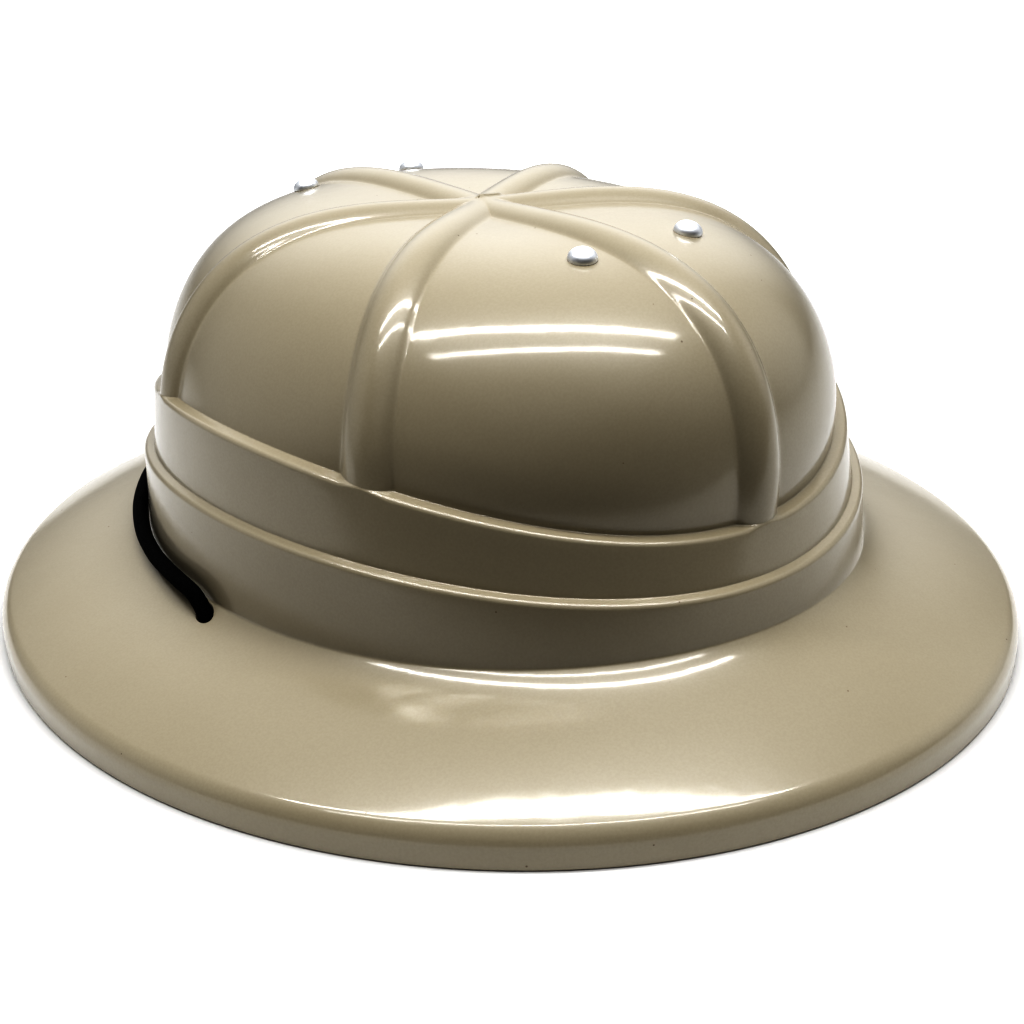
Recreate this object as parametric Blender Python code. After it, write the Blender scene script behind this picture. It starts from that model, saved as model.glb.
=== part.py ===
"""Sun helmet (pith helmet pattern) moulded in one piece of hard plastic.

The crown is a boxy dome with six raised ribs that meet at the top.  Below it two stepped
bands run round the crown, their edges dipping at the front and the back, and a sloping
brim ends in a rounded, turned-down edge.  Four domed rivets flank the front and back ribs.
An elastic chin strap is one whole loop: round the back of the crown on the outside, down
through a hole at each side of the brim, and loose on the ground inside the hollow.

Units are metres and +Z is up.  The front of the helmet points along -Y, and the origin
lies on the ground under its middle.  A bearing is an angle seen from above, in radians:
0 is the front, and a quarter turn is the +X side.
"""
from dataclasses import dataclass
from math import asin, atan2, cos, hypot, pi, radians, sin, tan

import bmesh
import bpy
from mathutils import Matrix, Vector

MM = 0.001
GAP = 0.3 * MM              # between pieces that touch


@dataclass(frozen=True)
class Ring:
    """A line round the helmet: an ellipse in plan whose height waves twice a turn."""

    half_length: float
    half_width: float
    height: float
    dip: float = 0.0

    def radius(self, bearing):
        """Distance from the middle at a bearing."""
        across = hypot(self.half_width * cos(bearing), self.half_length * sin(bearing))
        return self.half_length * self.half_width / across

    def level(self, bearing):
        """Height at a bearing: lowest at the front and back where dip is positive."""
        turn = atan2(self.half_length * sin(bearing), self.half_width * cos(bearing))
        return self.height - self.dip * cos(2.0 * turn)


# ---- Shell: the rings that drive it, from the ground up ----
BRIM_EDGE = Ring(160.0 * MM, 146.1 * MM, 9.0 * MM)
BAND_FOOT = Ring(117.3 * MM, 98.4 * MM, 27.5 * MM, dip=-1.9 * MM)
LOWER_EDGE = Ring(116.3 * MM, 97.4 * MM, 46.9 * MM, dip=5.1 * MM)
UPPER_EDGE = Ring(111.1 * MM, 92.2 * MM, 64.1 * MM, dip=9.3 * MM)
WALL = 2.0 * MM
LEDGE_DEPTH = 3.7 * MM
LEDGE_RISE = 0.5 * MM
BAND_LEAN = 2.2 * MM        # the upper band's foot stands this far out from its top edge
BRIM_EDGE_SLOPE = tan(radians(28.5))    # where the brim turns down into its edge
BRIM_FLARE = 4.5 * MM       # how far the slope would rise less without its flare at the bands
BRIM_FLARE_POWER = 8        # the higher, the closer the flare keeps to the bands
BRIM_REACH = 0.93           # share of the slope that its rows cover, before the foot's fillet

# ---- Dome: half sizes at its base height, and how it closes towards the top ----
DOME_HALF_LENGTH = 107.6 * MM
DOME_HALF_WIDTH = 88.9 * MM
DOME_BASE = 72.4 * MM
DOME_RISE = 44.6 * MM
DOME_NARROWING = 0.10       # share of the width lost at the top
DOME_SQUARENESS = 0.11      # how much squarer the plan gets at the top
SHOULDER_SPREAD, SHOULDER_RISE = 0.93, 1.317
CROWN_SPREAD, CROWN_RISE = 0.224, 0.923
DOME_FLARE_HEIGHT = 16.0 * MM

# ---- Ribs ----
RIB_BEARINGS = [radians(a) for a in (0.0, 57.6, 115.8, 180.0, 244.2, 302.4)]
RIB_HALF_WIDTH = 7.2 * MM
RIB_INNER_HALF_WIDTH = RIB_HALF_WIDTH - 0.8 * WALL
RIB_FOOT_HEIGHT = 3.4 * MM
RIB_TOP_HEIGHT = 2.6 * MM
RIB_FULLNESS = 0.75         # 0.5 is a half ellipse, 1 a parabola
RIB_SECTOR_SHARE = 0.46     # most of a sector that half a rib may take at the top

# ---- Fillet radii ----
BRIM_ROUND = 9.0 * MM
FOOT_ROUND = 3.0 * MM
LEDGE_EDGE_ROUND = 1.5 * MM
LEDGE_INNER_ROUND = 0.5 * MM
FILLET_SHARE = 0.45         # most of an edge that a fillet may take

# ---- Mesh steps, and how finely slopes and places are worked out ----
BRIM_ROUND_STEPS = 4
FOOT_ROUND_STEPS = 3
LEDGE_EDGE_STEPS = 3
LEDGE_INNER_STEPS = 2
RIB_STEPS = 2
PANEL_STEPS = 6
DOME_STEPS = 13
INNER_DOME_STEPS = 12
BRIM_STEPS = 5
INNER_BRIM_STEPS = 4
HALVINGS = 30
SLOPE_STEP = 0.001
FOOT_RUN = 0.02             # share of the dome that gives its slope at its foot
TINY = 1e-6
CREASE_ANGLE = radians(38.0)

# ---- Rivets: the place of each on the dome, seen from above, as x and y ----
RIVETS = {
    "vent_rivet_front_left": (23.7 * MM, -57.5 * MM),
    "vent_rivet_front_right": (-14.8 * MM, -59.0 * MM),
    "vent_rivet_back_left": (23.5 * MM, 66.0 * MM),
    "vent_rivet_back_right": (-16.0 * MM, 66.0 * MM),
}
RIVET_HEAD_RADIUS = 3.9 * MM
RIVET_HEAD_HEIGHT = 3.2 * MM
RIVET_HEAD_RIM = 0.5 * MM
RIVET_SHANK_RADIUS = 1.5 * MM
RIVET_TAIL_RADIUS = 3.1 * MM
RIVET_TAIL_HEIGHT = 1.0 * MM
RIVET_HEAD_SEAT = 0.4 * MM  # clear of the outer skin, which falls away round the head
RIVET_TAIL_SEAT = 0.6 * MM  # clear of the inner skin, which curves towards the tail
RIVET_CORNER = 0.25 * MM
RIVET_HOLE_DEPTH = 12.0 * MM
RIVET_STEPS = 16
RIVET_CAP_STEPS = 4

# ---- Chin strap ----
STRAP_DIAMETER = 4.5 * MM
STRAP_POINT_SPACING = 9.05 * MM     # about two diameters
STRAP_HOLE_RADIUS = 2.9 * MM
STRAP_HOLE = Vector((101.7, 1.2, 25.0)) * MM
STRAP_HOLE_LEAN = radians(42.0)     # the strap comes down to the hole from behind
STRAP_HOLE_DEPTH = 16.0 * MM
CUTTER_SIDES = 20


def clear_scene():
    """Remove every object, so that the script starts from nothing."""
    for thing in list(bpy.data.objects):
        bpy.data.objects.remove(thing, do_unlink=True)


def material(name, colour, roughness, metallic=0.0):
    """Return a Principled BSDF material."""
    made = bpy.data.materials.new(name)
    made.use_nodes = True
    shader = made.node_tree.nodes["Principled BSDF"]
    shader.inputs["Base Color"].default_value = (*colour, 1.0)
    shader.inputs["Roughness"].default_value = roughness
    shader.inputs["Metallic"].default_value = metallic
    made.diffuse_color = (*colour, 1.0)
    return made


# ---------------------------------------------------------------- the crown's section


def dome_bare(bearing, along):
    """Radius and height on the dome; along is 0 at its base and 1 at the top.

    The section is a cubic Bezier curve.  Its plan is an ellipse that narrows and grows
    squarer with height.
    """
    back = 1.0 - along
    early, late = 3.0 * back * back * along, 3.0 * back * along * along
    spread = back ** 3 + early * SHOULDER_SPREAD + late * CROWN_SPREAD
    rise = early * SHOULDER_RISE + late * CROWN_RISE + along ** 3
    power = 2.0 + DOME_SQUARENESS * max(rise, 0.0)
    width = DOME_HALF_WIDTH * (1.0 - DOME_NARROWING * rise)
    reach = abs(cos(bearing) / DOME_HALF_LENGTH) ** power + abs(sin(bearing) / width) ** power
    return spread * reach ** (-1.0 / power), DOME_BASE + DOME_RISE * rise


def dome_foot(bearing):
    """The dome's parameter where it stands on the upper ledge, found by halving."""
    target = UPPER_EDGE.level(bearing) + LEDGE_RISE
    low, high = -0.2, 0.3
    for _ in range(HALVINGS):
        middle = (low + high) / 2.0
        if dome_bare(bearing, middle)[1] < target:
            low = middle
        else:
            high = middle
    return (low + high) / 2.0


def dome_point(bearing, along):
    """Radius and height on the dome, flared at its foot to meet the upper ledge."""
    foot_radius, foot_height = dome_bare(bearing, dome_foot(bearing))
    flare = UPPER_EDGE.radius(bearing) - LEDGE_DEPTH - foot_radius
    radius, height = dome_bare(bearing, along)
    fade = max(0.0, 1.0 - (height - foot_height) / DOME_FLARE_HEIGHT)
    return radius + flare * fade * fade, height


def dome_normal(bearing, along):
    """Outward unit normal of the dome's section, as radius and height."""
    low = dome_point(bearing, max(along - SLOPE_STEP, dome_foot(bearing)))
    high = dome_point(bearing, min(along + SLOPE_STEP, 1.0))
    run, rise = high[0] - low[0], high[1] - low[1]
    length = hypot(run, rise)
    return rise / length, -run / length


def rib_height(bearing, radius, along, half_width):
    """Height of the nearest rib above the dome at a place on it."""
    crest = RIB_FOOT_HEIGHT + (RIB_TOP_HEIGHT - RIB_FOOT_HEIGHT) * max(along, 0.0)
    height = 0.0
    for rib in RIB_BEARINGS:
        off = bearing - rib
        if cos(off) > 0.0:
            across = abs(radius * sin(off)) / half_width
            if across < 1.0:
                height = max(height, crest * (1.0 - across * across) ** RIB_FULLNESS)
    if radius < TINY:
        height = crest
    return height


# ---------------------------------------------------------------- sections and columns


def offset_corner(before, corner, after, distance):
    """Move a section's corner inwards by a wall thickness, along its mitre."""
    into = (corner - before).normalized()
    out = (after - corner).normalized()
    first, second = Vector((-into.y, into.x)), Vector((-out.y, out.x))
    return corner + (first + second) * (distance / (1.0 + first.dot(second)))


def fillet(before, corner, after, radius, steps):
    """Points of an arc that rounds a section's corner, from one tangent to the other."""
    into, out = before - corner, after - corner
    half = into.angle(out) / 2.0
    reach = min(radius / tan(half), FILLET_SHARE * into.length, FILLET_SHARE * out.length)
    start, end = corner + into.normalized() * reach, corner + out.normalized() * reach
    centre_way = (into.normalized() + out.normalized()).normalized()
    centre = corner + centre_way * (reach / cos(half))
    points = []
    for step in range(steps + 1):
        share = step / steps
        flat = start.lerp(end, share) - centre
        points.append(centre + flat.normalized() * (reach * tan(half)))
    return points


def section_corners(bearing):
    """The section's corners below the dome, from the ground up, at a bearing."""
    foot = dome_point(bearing, dome_foot(bearing))
    lower, upper = LOWER_EDGE.level(bearing), UPPER_EDGE.level(bearing)
    edge_radius = BRIM_EDGE.radius(bearing)
    inner_lower = UPPER_EDGE.radius(bearing) + BAND_LEAN
    return [
        Vector((edge_radius, 0.0)),
        Vector((edge_radius, BRIM_EDGE.height)),
        Vector((BAND_FOOT.radius(bearing), BAND_FOOT.level(bearing))),
        Vector((LOWER_EDGE.radius(bearing), lower)),
        Vector((inner_lower, lower + LEDGE_RISE)),
        Vector((UPPER_EDGE.radius(bearing), upper)),
        Vector(foot),
        Vector(dome_point(bearing, dome_foot(bearing) + FOOT_RUN)),
    ]


def brim_slope(start, end, steps):
    """Points on the brim from its rounded edge to the foot of the bands.

    The slope is steepest at the edge, eases inwards, and flares up again at the bands.
    """
    run = start.x - end.x
    mean_slope = (end.y - start.y) / run
    points = []
    for step in range(1, steps + 1):
        share = BRIM_REACH * step / steps
        ease = (BRIM_EDGE_SLOPE - mean_slope) * run * share * (1.0 - share)
        flare = BRIM_FLARE * (share ** 2 - share ** BRIM_FLARE_POWER)
        points.append(start.lerp(end, share) + Vector((0.0, ease - flare)))
    return points


def brim_side(corners, radius, round_steps, slope_steps):
    """The brim's rounded edge and its slope, from its lowest corner to the bands' foot."""
    lip, edge, foot = corners[:3]
    inwards = edge + Vector((-1.0, BRIM_EDGE_SLOPE)) * (edge.x - foot.x)
    rounded = fillet(lip, edge, inwards, radius, round_steps)
    return [*rounded, *brim_slope(rounded[-1], foot, slope_steps)]


def outer_rows(bearing):
    """The outer section below the dome, from the ground to the dome's foot."""
    c = section_corners(bearing)
    foot_rib = rib_height(bearing, c[6].x, 0.0, RIB_HALF_WIDTH)
    c[6].x += foot_rib
    c[7].x += foot_rib
    brim = brim_side(c, BRIM_ROUND, BRIM_ROUND_STEPS, BRIM_STEPS)
    rows = [c[0], *brim, *fillet(brim[-1], c[2], c[3], FOOT_ROUND, FOOT_ROUND_STEPS)]
    rows += fillet(c[2], c[3], c[4], LEDGE_EDGE_ROUND, LEDGE_EDGE_STEPS)
    rows += fillet(c[3], c[4], c[5], LEDGE_INNER_ROUND, LEDGE_INNER_STEPS)
    rows += fillet(c[4], c[5], c[6], LEDGE_EDGE_ROUND, LEDGE_EDGE_STEPS)
    rows += fillet(c[5], c[6], c[7], LEDGE_INNER_ROUND, LEDGE_INNER_STEPS)
    return rows


def inner_rows(bearing):
    """The inner section below the dome: the outer one moved in by the wall."""
    c = section_corners(bearing)
    moved = [c[0] - Vector((WALL, 0.0))]
    for before, corner, after in zip(c, c[1:], c[2:]):
        moved.append(offset_corner(before, corner, after, WALL))
    foot_rib = rib_height(bearing, c[6].x, 0.0, RIB_INNER_HALF_WIDTH)
    moved[6].x += foot_rib
    brim = brim_side(moved, BRIM_ROUND - WALL, BRIM_ROUND_STEPS - 1, INNER_BRIM_STEPS)
    return [moved[0], *brim, *moved[2:]]


def dome_rows(bearings, steps, inner):
    """A column of the dome above its foot, each row at its own bearing."""
    foot = dome_foot(bearings[0])
    points = []
    for row in range(1, steps):
        along = foot + (1.0 - foot) * row / steps
        bearing = bearings[row]
        radius, height = dome_point(bearing, along)
        out, up = dome_normal(bearing, along)
        half_width = RIB_INNER_HALF_WIDTH if inner else RIB_HALF_WIDTH
        lift = rib_height(bearing, radius, along, half_width) - (WALL if inner else 0.0)
        points.append((bearing, radius + out * lift, height + up * lift))
    return points


def column_bearings(row_count):
    """Bearings of each mesh column at each dome row, following the ribs' edges.

    A column keeps its share of a rib or of a panel all the way up, so the ribs keep
    their width while the columns draw together at the top.
    """
    columns = []
    for index, rib in enumerate(RIB_BEARINGS):
        after = RIB_BEARINGS[(index + 1) % len(RIB_BEARINGS)]
        gap = (after - rib) % (2.0 * pi)
        shares = [("rib", i / RIB_STEPS) for i in range(RIB_STEPS)]
        shares += [("panel", i / PANEL_STEPS) for i in range(PANEL_STEPS + 1)]
        shares += [("next", i / RIB_STEPS) for i in range(RIB_STEPS - 1, 0, -1)]
        for kind, share in shares:
            column = []
            for row in range(row_count + 1):
                along = row / row_count
                near = rib_half_angle(rib, along, gap)
                far = rib_half_angle(after, along, gap)
                turn = {
                    "rib": near * share,
                    "panel": near + (gap - near - far) * share,
                    "next": gap - far * share,
                }[kind]
                column.append(rib + turn)
            columns.append(column)
    return columns


def rib_half_angle(rib, along, gap):
    """Half the angle that a rib takes up, seen from above, at a height on the dome."""
    foot = dome_foot(rib)
    radius = dome_point(rib, foot + (1.0 - foot) * along)[0]
    return asin(min(RIB_HALF_WIDTH / max(radius, TINY), sin(RIB_SECTOR_SHARE * gap)))


def on_bearing(bearing, radius, height):
    """The point at a bearing, radius and height."""
    return Vector((radius * sin(bearing), -radius * cos(bearing), height))


# ---------------------------------------------------------------- the shell


def skin(mesh, steps, inner):
    """Add the outer or inner skin, and return its lowest line of vertices."""
    columns = []
    for bearings in column_bearings(steps):
        below = inner_rows(bearings[0]) if inner else outer_rows(bearings[0])
        points = [on_bearing(bearings[0], p.x, p.y) for p in below]
        points += [on_bearing(*p) for p in dome_rows(bearings, steps, inner)]
        columns.append([mesh.verts.new(p) for p in points])
    top_height = DOME_BASE + DOME_RISE + RIB_TOP_HEIGHT - (WALL if inner else 0.0)
    top = mesh.verts.new((0.0, 0.0, top_height))
    for left, right in zip(columns, columns[1:] + columns[:1]):
        for row in range(len(left) - 1):
            face = [left[row], right[row], right[row + 1], left[row + 1]]
            mesh.faces.new(face[::-1] if inner else face)
        cap = [left[-1], right[-1], top]
        mesh.faces.new(cap[::-1] if inner else cap)
    return [column[0] for column in columns]


def cutter(name, place, direction, radius, depth):
    """A hidden cylinder that a Boolean cuts away."""
    mesh = bmesh.new()
    bmesh.ops.create_cone(
        mesh, cap_ends=True, segments=CUTTER_SIDES, radius1=radius, radius2=radius, depth=depth)
    made = finished(name, mesh, None)
    made.location = place
    made.rotation_mode = "QUATERNION"
    made.rotation_quaternion = direction.to_track_quat("Z", "Y")
    made.hide_render = True
    made.display_type = "WIRE"
    return made


def finished(name, mesh, look):
    """Turn a bmesh into an object with smooth shading and sharp creases."""
    bmesh.ops.recalc_face_normals(mesh, faces=mesh.faces)
    data = bpy.data.meshes.new(name)
    mesh.to_mesh(data)
    mesh.free()
    data.shade_smooth()
    data.set_sharp_from_angle(angle=CREASE_ANGLE)
    made = bpy.data.objects.new(name, data)
    bpy.context.scene.collection.objects.link(made)
    if look:
        data.materials.append(look)
    return made


def make_shell(look):
    """The moulded shell: crown, bands and brim, drilled for the rivets and the strap."""
    mesh = bmesh.new()
    outer_foot = skin(mesh, DOME_STEPS, inner=False)
    inner_foot = skin(mesh, INNER_DOME_STEPS, inner=True)
    count = len(outer_foot)
    for i in range(count):
        j = (i + 1) % count
        mesh.faces.new([outer_foot[j], outer_foot[i], inner_foot[i], inner_foot[j]])
    shell = finished("shell", mesh, look)
    cutters = []
    for name, seat in RIVETS.items():
        place, direction = rivet_seat(*seat)
        hole = RIVET_SHANK_RADIUS + GAP
        cutters.append(cutter(name + "_hole", place, direction, hole, RIVET_HOLE_DEPTH))
    for side in (-1.0, 1.0):
        place = Vector((side * STRAP_HOLE.x, STRAP_HOLE.y, STRAP_HOLE.z))
        lean = Vector((0.0, sin(STRAP_HOLE_LEAN), cos(STRAP_HOLE_LEAN)))
        name = "strap_hole_left" if side > 0.0 else "strap_hole_right"
        cutters.append(cutter(name, place, lean, STRAP_HOLE_RADIUS, STRAP_HOLE_DEPTH))
    for tool in cutters:
        cut = shell.modifiers.new(tool.name, "BOOLEAN")
        cut.operation = "DIFFERENCE"
        cut.solver = "EXACT"
        cut.object = tool
    return shell


# ---------------------------------------------------------------- the rivets


def rivet_seat(x, y):
    """The point on the outer skin under a rivet's head, and the skin's normal there."""
    bearing, distance = atan2(x, -y), hypot(x, y)
    low, high = 0.1, 1.0
    for _ in range(HALVINGS):
        middle = (low + high) / 2.0
        if dome_point(bearing, middle)[0] > distance:
            low = middle
        else:
            high = middle
    place = on_bearing(bearing, *dome_point(bearing, low))
    turned_by = bearing + SLOPE_STEP
    side = on_bearing(turned_by, *dome_point(turned_by, low)) - place
    up = on_bearing(bearing, *dome_point(bearing, low + SLOPE_STEP)) - place
    return place, side.cross(up).normalized()


def rivet_profile():
    """Radius and height of the rivet's outline, from the middle of its tail to its top."""
    tail_top = -WALL - RIVET_TAIL_SEAT
    tail_foot = tail_top - RIVET_TAIL_HEIGHT
    outline = [
        (0.0, tail_foot),
        (RIVET_TAIL_RADIUS - RIVET_CORNER, tail_foot),
        (RIVET_TAIL_RADIUS, tail_foot + RIVET_CORNER),
        (RIVET_TAIL_RADIUS, tail_top),
        (RIVET_SHANK_RADIUS, tail_top),
        (RIVET_SHANK_RADIUS, RIVET_HEAD_SEAT),
        (RIVET_HEAD_RADIUS, RIVET_HEAD_SEAT),
    ]
    rise = RIVET_HEAD_HEIGHT - RIVET_HEAD_RIM
    for step in range(RIVET_CAP_STEPS + 1):
        angle = step / RIVET_CAP_STEPS * pi / 2.0
        height = RIVET_HEAD_SEAT + RIVET_HEAD_RIM + rise * sin(angle)
        outline.append((RIVET_HEAD_RADIUS * cos(angle), height))
    return outline


def turned(mesh, outline, steps):
    """Turn an outline whose ends lie on the axis into a closed body."""
    rings = []
    for radius, height in outline[1:-1]:
        turns = [2.0 * pi * i / steps for i in range(steps)]
        rings.append([mesh.verts.new((radius * cos(t), radius * sin(t), height)) for t in turns])
    foot = mesh.verts.new((0.0, 0.0, outline[0][1]))
    top = mesh.verts.new((0.0, 0.0, outline[-1][1]))
    for i in range(steps):
        j = (i + 1) % steps
        mesh.faces.new([foot, rings[0][j], rings[0][i]])
        mesh.faces.new([rings[-1][i], rings[-1][j], top])
        for low, high in zip(rings, rings[1:]):
            mesh.faces.new([low[i], low[j], high[j], high[i]])


def make_rivet(name, seat, look):
    """One rivet: a domed head outside, a shank through the wall and a plain tail inside."""
    mesh = bmesh.new()
    turned(mesh, rivet_profile(), RIVET_STEPS)
    place, direction = rivet_seat(*seat)
    turn = direction.to_track_quat("Z", "Y").to_matrix().to_4x4()
    bmesh.ops.transform(mesh, matrix=Matrix.Translation(place) @ turn, verts=mesh.verts)
    return finished(name, mesh, look)


# ---------------------------------------------------------------- the chin strap

# Half of the loop, from the join at the middle of the back, round the +X side of the
# crown, down through the hole and forward on the ground to the middle of the front:
# x, y and z in millimetres.
STRAP_ROUTE = [
    (0.3, 120.1, 30.9),
    (12.4, 119.4, 30.8),
    (24.9, 116.5, 30.6),
    (47.3, 106.2, 30.0),
    (66.1, 90.9, 29.2),
    (80.6, 72.5, 28.4),
    (91.0, 52.5, 27.9),
    (96.8, 35.1, 27.7),
    (99.6, 21.8, 28.1),
    (101.1, 11.8, 28.4),
    (101.6, 3.4, 27.4),
    (101.7, -1.9, 23.1),
    (101.7, -6.0, 15.2),
    (101.2, -13.4, 7.3),
    (98.4, -26.9, 2.8),
    (93.0, -42.0, 2.4),
    (82.0, -63.0, 2.4),
    (64.5, -84.0, 2.4),
    (42.0, -98.0, 2.4),
    (14.0, -105.0, 2.4),
]


def strap_loop():
    """The whole loop's route: the half on the +X side, and its mirror image back."""
    half = [Vector(p) * MM for p in STRAP_ROUTE]
    return half + [Vector((-p.x, p.y, p.z)) for p in reversed(half)]


def smooth_line(route, fine=24):
    """A smooth curve through the route's points, in short straight steps."""
    line = []
    for i in range(len(route) - 1):
        before = route[i - 1] if i else route[0] * 2.0 - route[1]
        after = route[i + 2] if i + 2 < len(route) else route[-1] * 2.0 - route[-2]
        start, end = route[i], route[i + 1]
        for step in range(fine):
            t = step / fine
            line.append(0.5 * (
                2.0 * start
                + (end - before) * t
                + (2.0 * before - 5.0 * start + 4.0 * end - after) * t * t
                + (3.0 * start - before - 3.0 * end + after) * t ** 3))
    line.append(route[-1])
    return line


def spaced(line, spacing):
    """Points at equal distances along a line, close to a spacing."""
    lengths = [0.0]
    for a, b in zip(line, line[1:]):
        lengths.append(lengths[-1] + (b - a).length)
    count = max(2, round(lengths[-1] / spacing))
    points, at = [], 0
    for i in range(count + 1):
        want = lengths[-1] * i / count
        while at < len(line) - 2 and lengths[at + 1] < want:
            at += 1
        share = (want - lengths[at]) / (lengths[at + 1] - lengths[at])
        points.append(line[at].lerp(line[at + 1], share))
    return points


def make_strap(look):
    """The elastic chin strap, a round cord along the whole loop."""
    points = spaced(smooth_line(strap_loop()), STRAP_POINT_SPACING)
    data = bpy.data.curves.new("chin_strap", "CURVE")
    data.dimensions = "3D"
    data.bevel_depth = STRAP_DIAMETER / 2.0
    data.bevel_resolution = 2
    data.use_fill_caps = True
    spline = data.splines.new("POLY")
    spline.points.add(len(points) - 1)
    for knot, point in zip(spline.points, points):
        knot.co = (*point, 1.0)
    spline.use_smooth = True
    data.materials.append(look)
    strap = bpy.data.objects.new("chin_strap", data)
    bpy.context.scene.collection.objects.link(strap)
    return strap


def main():
    """Build the helmet."""
    clear_scene()
    plastic = material("moulded_plastic", (0.40, 0.35, 0.26), 0.18)
    metal = material("nickel_plate", (0.80, 0.80, 0.82), 0.15, metallic=1.0)
    elastic = material("black_elastic", (0.012, 0.012, 0.012), 0.7)
    make_shell(plastic)
    for name, seat in RIVETS.items():
        make_rivet(name, seat, metal)
    make_strap(elastic)


main()
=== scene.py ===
"""The looks of a hard plastic sun helmet (pith helmet pattern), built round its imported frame.

The shell, the rivets and the chin strap are surfaces worked out with numpy from the same rings,
dome and ribs as the frame's own solids.  Units are metres, +Z is up, the front of the helmet
points along -Y and a bearing is an angle seen from above, in radians: 0 is the front, and a
quarter turn is the +X side.
"""

import logging
from dataclasses import dataclass
from enum import Enum
from typing import Callable, Union

import bpy
import numpy as np
from mathutils import Matrix, Vector

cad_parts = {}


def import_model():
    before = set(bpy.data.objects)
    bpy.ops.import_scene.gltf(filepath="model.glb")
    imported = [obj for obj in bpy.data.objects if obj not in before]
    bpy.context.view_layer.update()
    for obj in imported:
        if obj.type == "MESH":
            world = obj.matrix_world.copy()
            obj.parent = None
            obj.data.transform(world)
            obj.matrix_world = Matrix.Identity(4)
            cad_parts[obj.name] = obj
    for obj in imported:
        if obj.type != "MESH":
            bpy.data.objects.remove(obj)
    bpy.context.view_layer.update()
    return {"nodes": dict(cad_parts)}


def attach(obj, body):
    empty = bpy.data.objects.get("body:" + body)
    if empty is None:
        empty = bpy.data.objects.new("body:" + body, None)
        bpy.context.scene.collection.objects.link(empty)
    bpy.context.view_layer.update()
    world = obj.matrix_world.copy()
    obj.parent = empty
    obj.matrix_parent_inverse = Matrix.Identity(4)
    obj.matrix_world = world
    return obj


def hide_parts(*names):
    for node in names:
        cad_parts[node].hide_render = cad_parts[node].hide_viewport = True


log = logging.getLogger("helmet")

MM = 0.001
CREASE = np.radians(40.0)  # edges that turn more than this are shaded sharp
EDGE_SHARE = 0.45          # largest share of an edge that a fillet may take
HALVINGS = 30              # rounds of a search by halving
PROBE = 1e-3               # small step along a parameter, to find a slope
TINY = 1e-9                # keeps a length that others are divided by from being 0
WHITE = (1.0, 1.0, 1.0)

Array = np.ndarray
Colour = tuple[float, float, float]
Piece = bpy.types.Object
Socket = bpy.types.NodeSocket
Value = Union[Socket, float, tuple[float, ...]]


# ------------------------------------------------------------------ numbers and grids


def smooth_max(a: Array, b: Array, width: float) -> Array:
    """The larger of two fields, blended where they are closer than a width.

    Formula: max(a, b) plus (width - |a - b|) squared over 4 widths, where that is positive.

    Args:
        a: first field.
        b: second field.
        width: difference under which the two are blended.

    Returns:
        The blended field.
    """
    near = np.clip(width - np.abs(a - b), 0.0, None)
    return np.maximum(a, b) + near * near / (4.0 * width)


def unit(v: Array) -> Array:
    """Vectors of length 1, along the last axis."""
    return v / np.maximum(np.linalg.norm(v, axis=-1, keepdims=True), TINY)


def halve(low: Array, high: Array, short: Callable[[Array], Array]) -> Array:
    """Close in on the values at which a test turns false, by halving.

    Args:
        low: values at which the test is true.
        high: values at which it is false.
        short: the test, true for values that are still too low.

    Returns:
        The values between.
    """
    for _ in range(HALVINGS):
        middle = (low + high) / 2.0
        under = short(middle)
        low, high = np.where(under, middle, low), np.where(under, high, middle)
    return (low + high) / 2.0


def fillet(before: Array, corner: Array, after: Array, radius: float, steps: int) -> Array:
    """Round a corner of many flat sections at once.

    Formula: the tangent points lie radius / tan(half the corner's angle) from the corner, and the
    arc is their chord pushed out to the radius about the arc's centre.

    Args:
        before: the section's point before the corner, one row per column.
        corner: the corner.
        after: the point after the corner.
        radius: radius of the arc; it shrinks where an edge is too short for it.
        steps: number of steps along the arc.

    Returns:
        Points of shape (steps + 1, columns, 2).
    """
    into, out = before - corner, after - corner
    into_unit, out_unit = unit(into), unit(out)
    half = np.arccos(np.clip((into_unit * out_unit).sum(-1), -1.0, 1.0)) / 2.0
    limits = [radius / np.tan(half), EDGE_SHARE * np.linalg.norm(into, axis=-1),
              EDGE_SHARE * np.linalg.norm(out, axis=-1)]
    reach = np.minimum.reduce(limits)[:, None]
    centre = corner + unit(into_unit + out_unit) * reach / np.cos(half)[:, None]
    start, end = corner + into_unit * reach, corner + out_unit * reach
    along = np.linspace(0.0, 1.0, steps + 1)[:, None, None]
    spoke = start * (1.0 - along) + end * along - centre
    return centre + unit(spoke) * reach * np.tan(half)[:, None]


def straight(start: Array, end: Array, steps: int) -> Array:
    """Points on a straight run between two ends, both left out."""
    share = (np.arange(1, steps + 1) / (steps + 1.0))[:, None, None]
    return start * (1.0 - share) + end * share


def offset_corner(before: Array, corner: Array, after: Array, distance: float) -> Array:
    """Move a section's corner inwards by a wall thickness, along its mitre.

    Formula: the distance times the sum of the two edges' inward normals, over 1 plus their dot
    product.

    Args:
        before: the section's point before the corner, one row per column.
        corner: the corner.
        after: the point after the corner.
        distance: how far each edge moves.

    Returns:
        The moved corner.
    """
    into, out = unit(corner - before), unit(after - corner)
    first = np.stack([-into[:, 1], into[:, 0]], -1)
    second = np.stack([-out[:, 1], out[:, 0]], -1)
    return corner + (first + second) * distance / (1.0 + (first * second).sum(-1))[:, None]


def on_bearing(bearing: Array, radius: Array, height: Array) -> Array:
    """Points at bearings, radii and heights: x = r sin t, y = -r cos t, z = h."""
    return np.stack([radius * np.sin(bearing), -radius * np.cos(bearing), height], -1)


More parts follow.
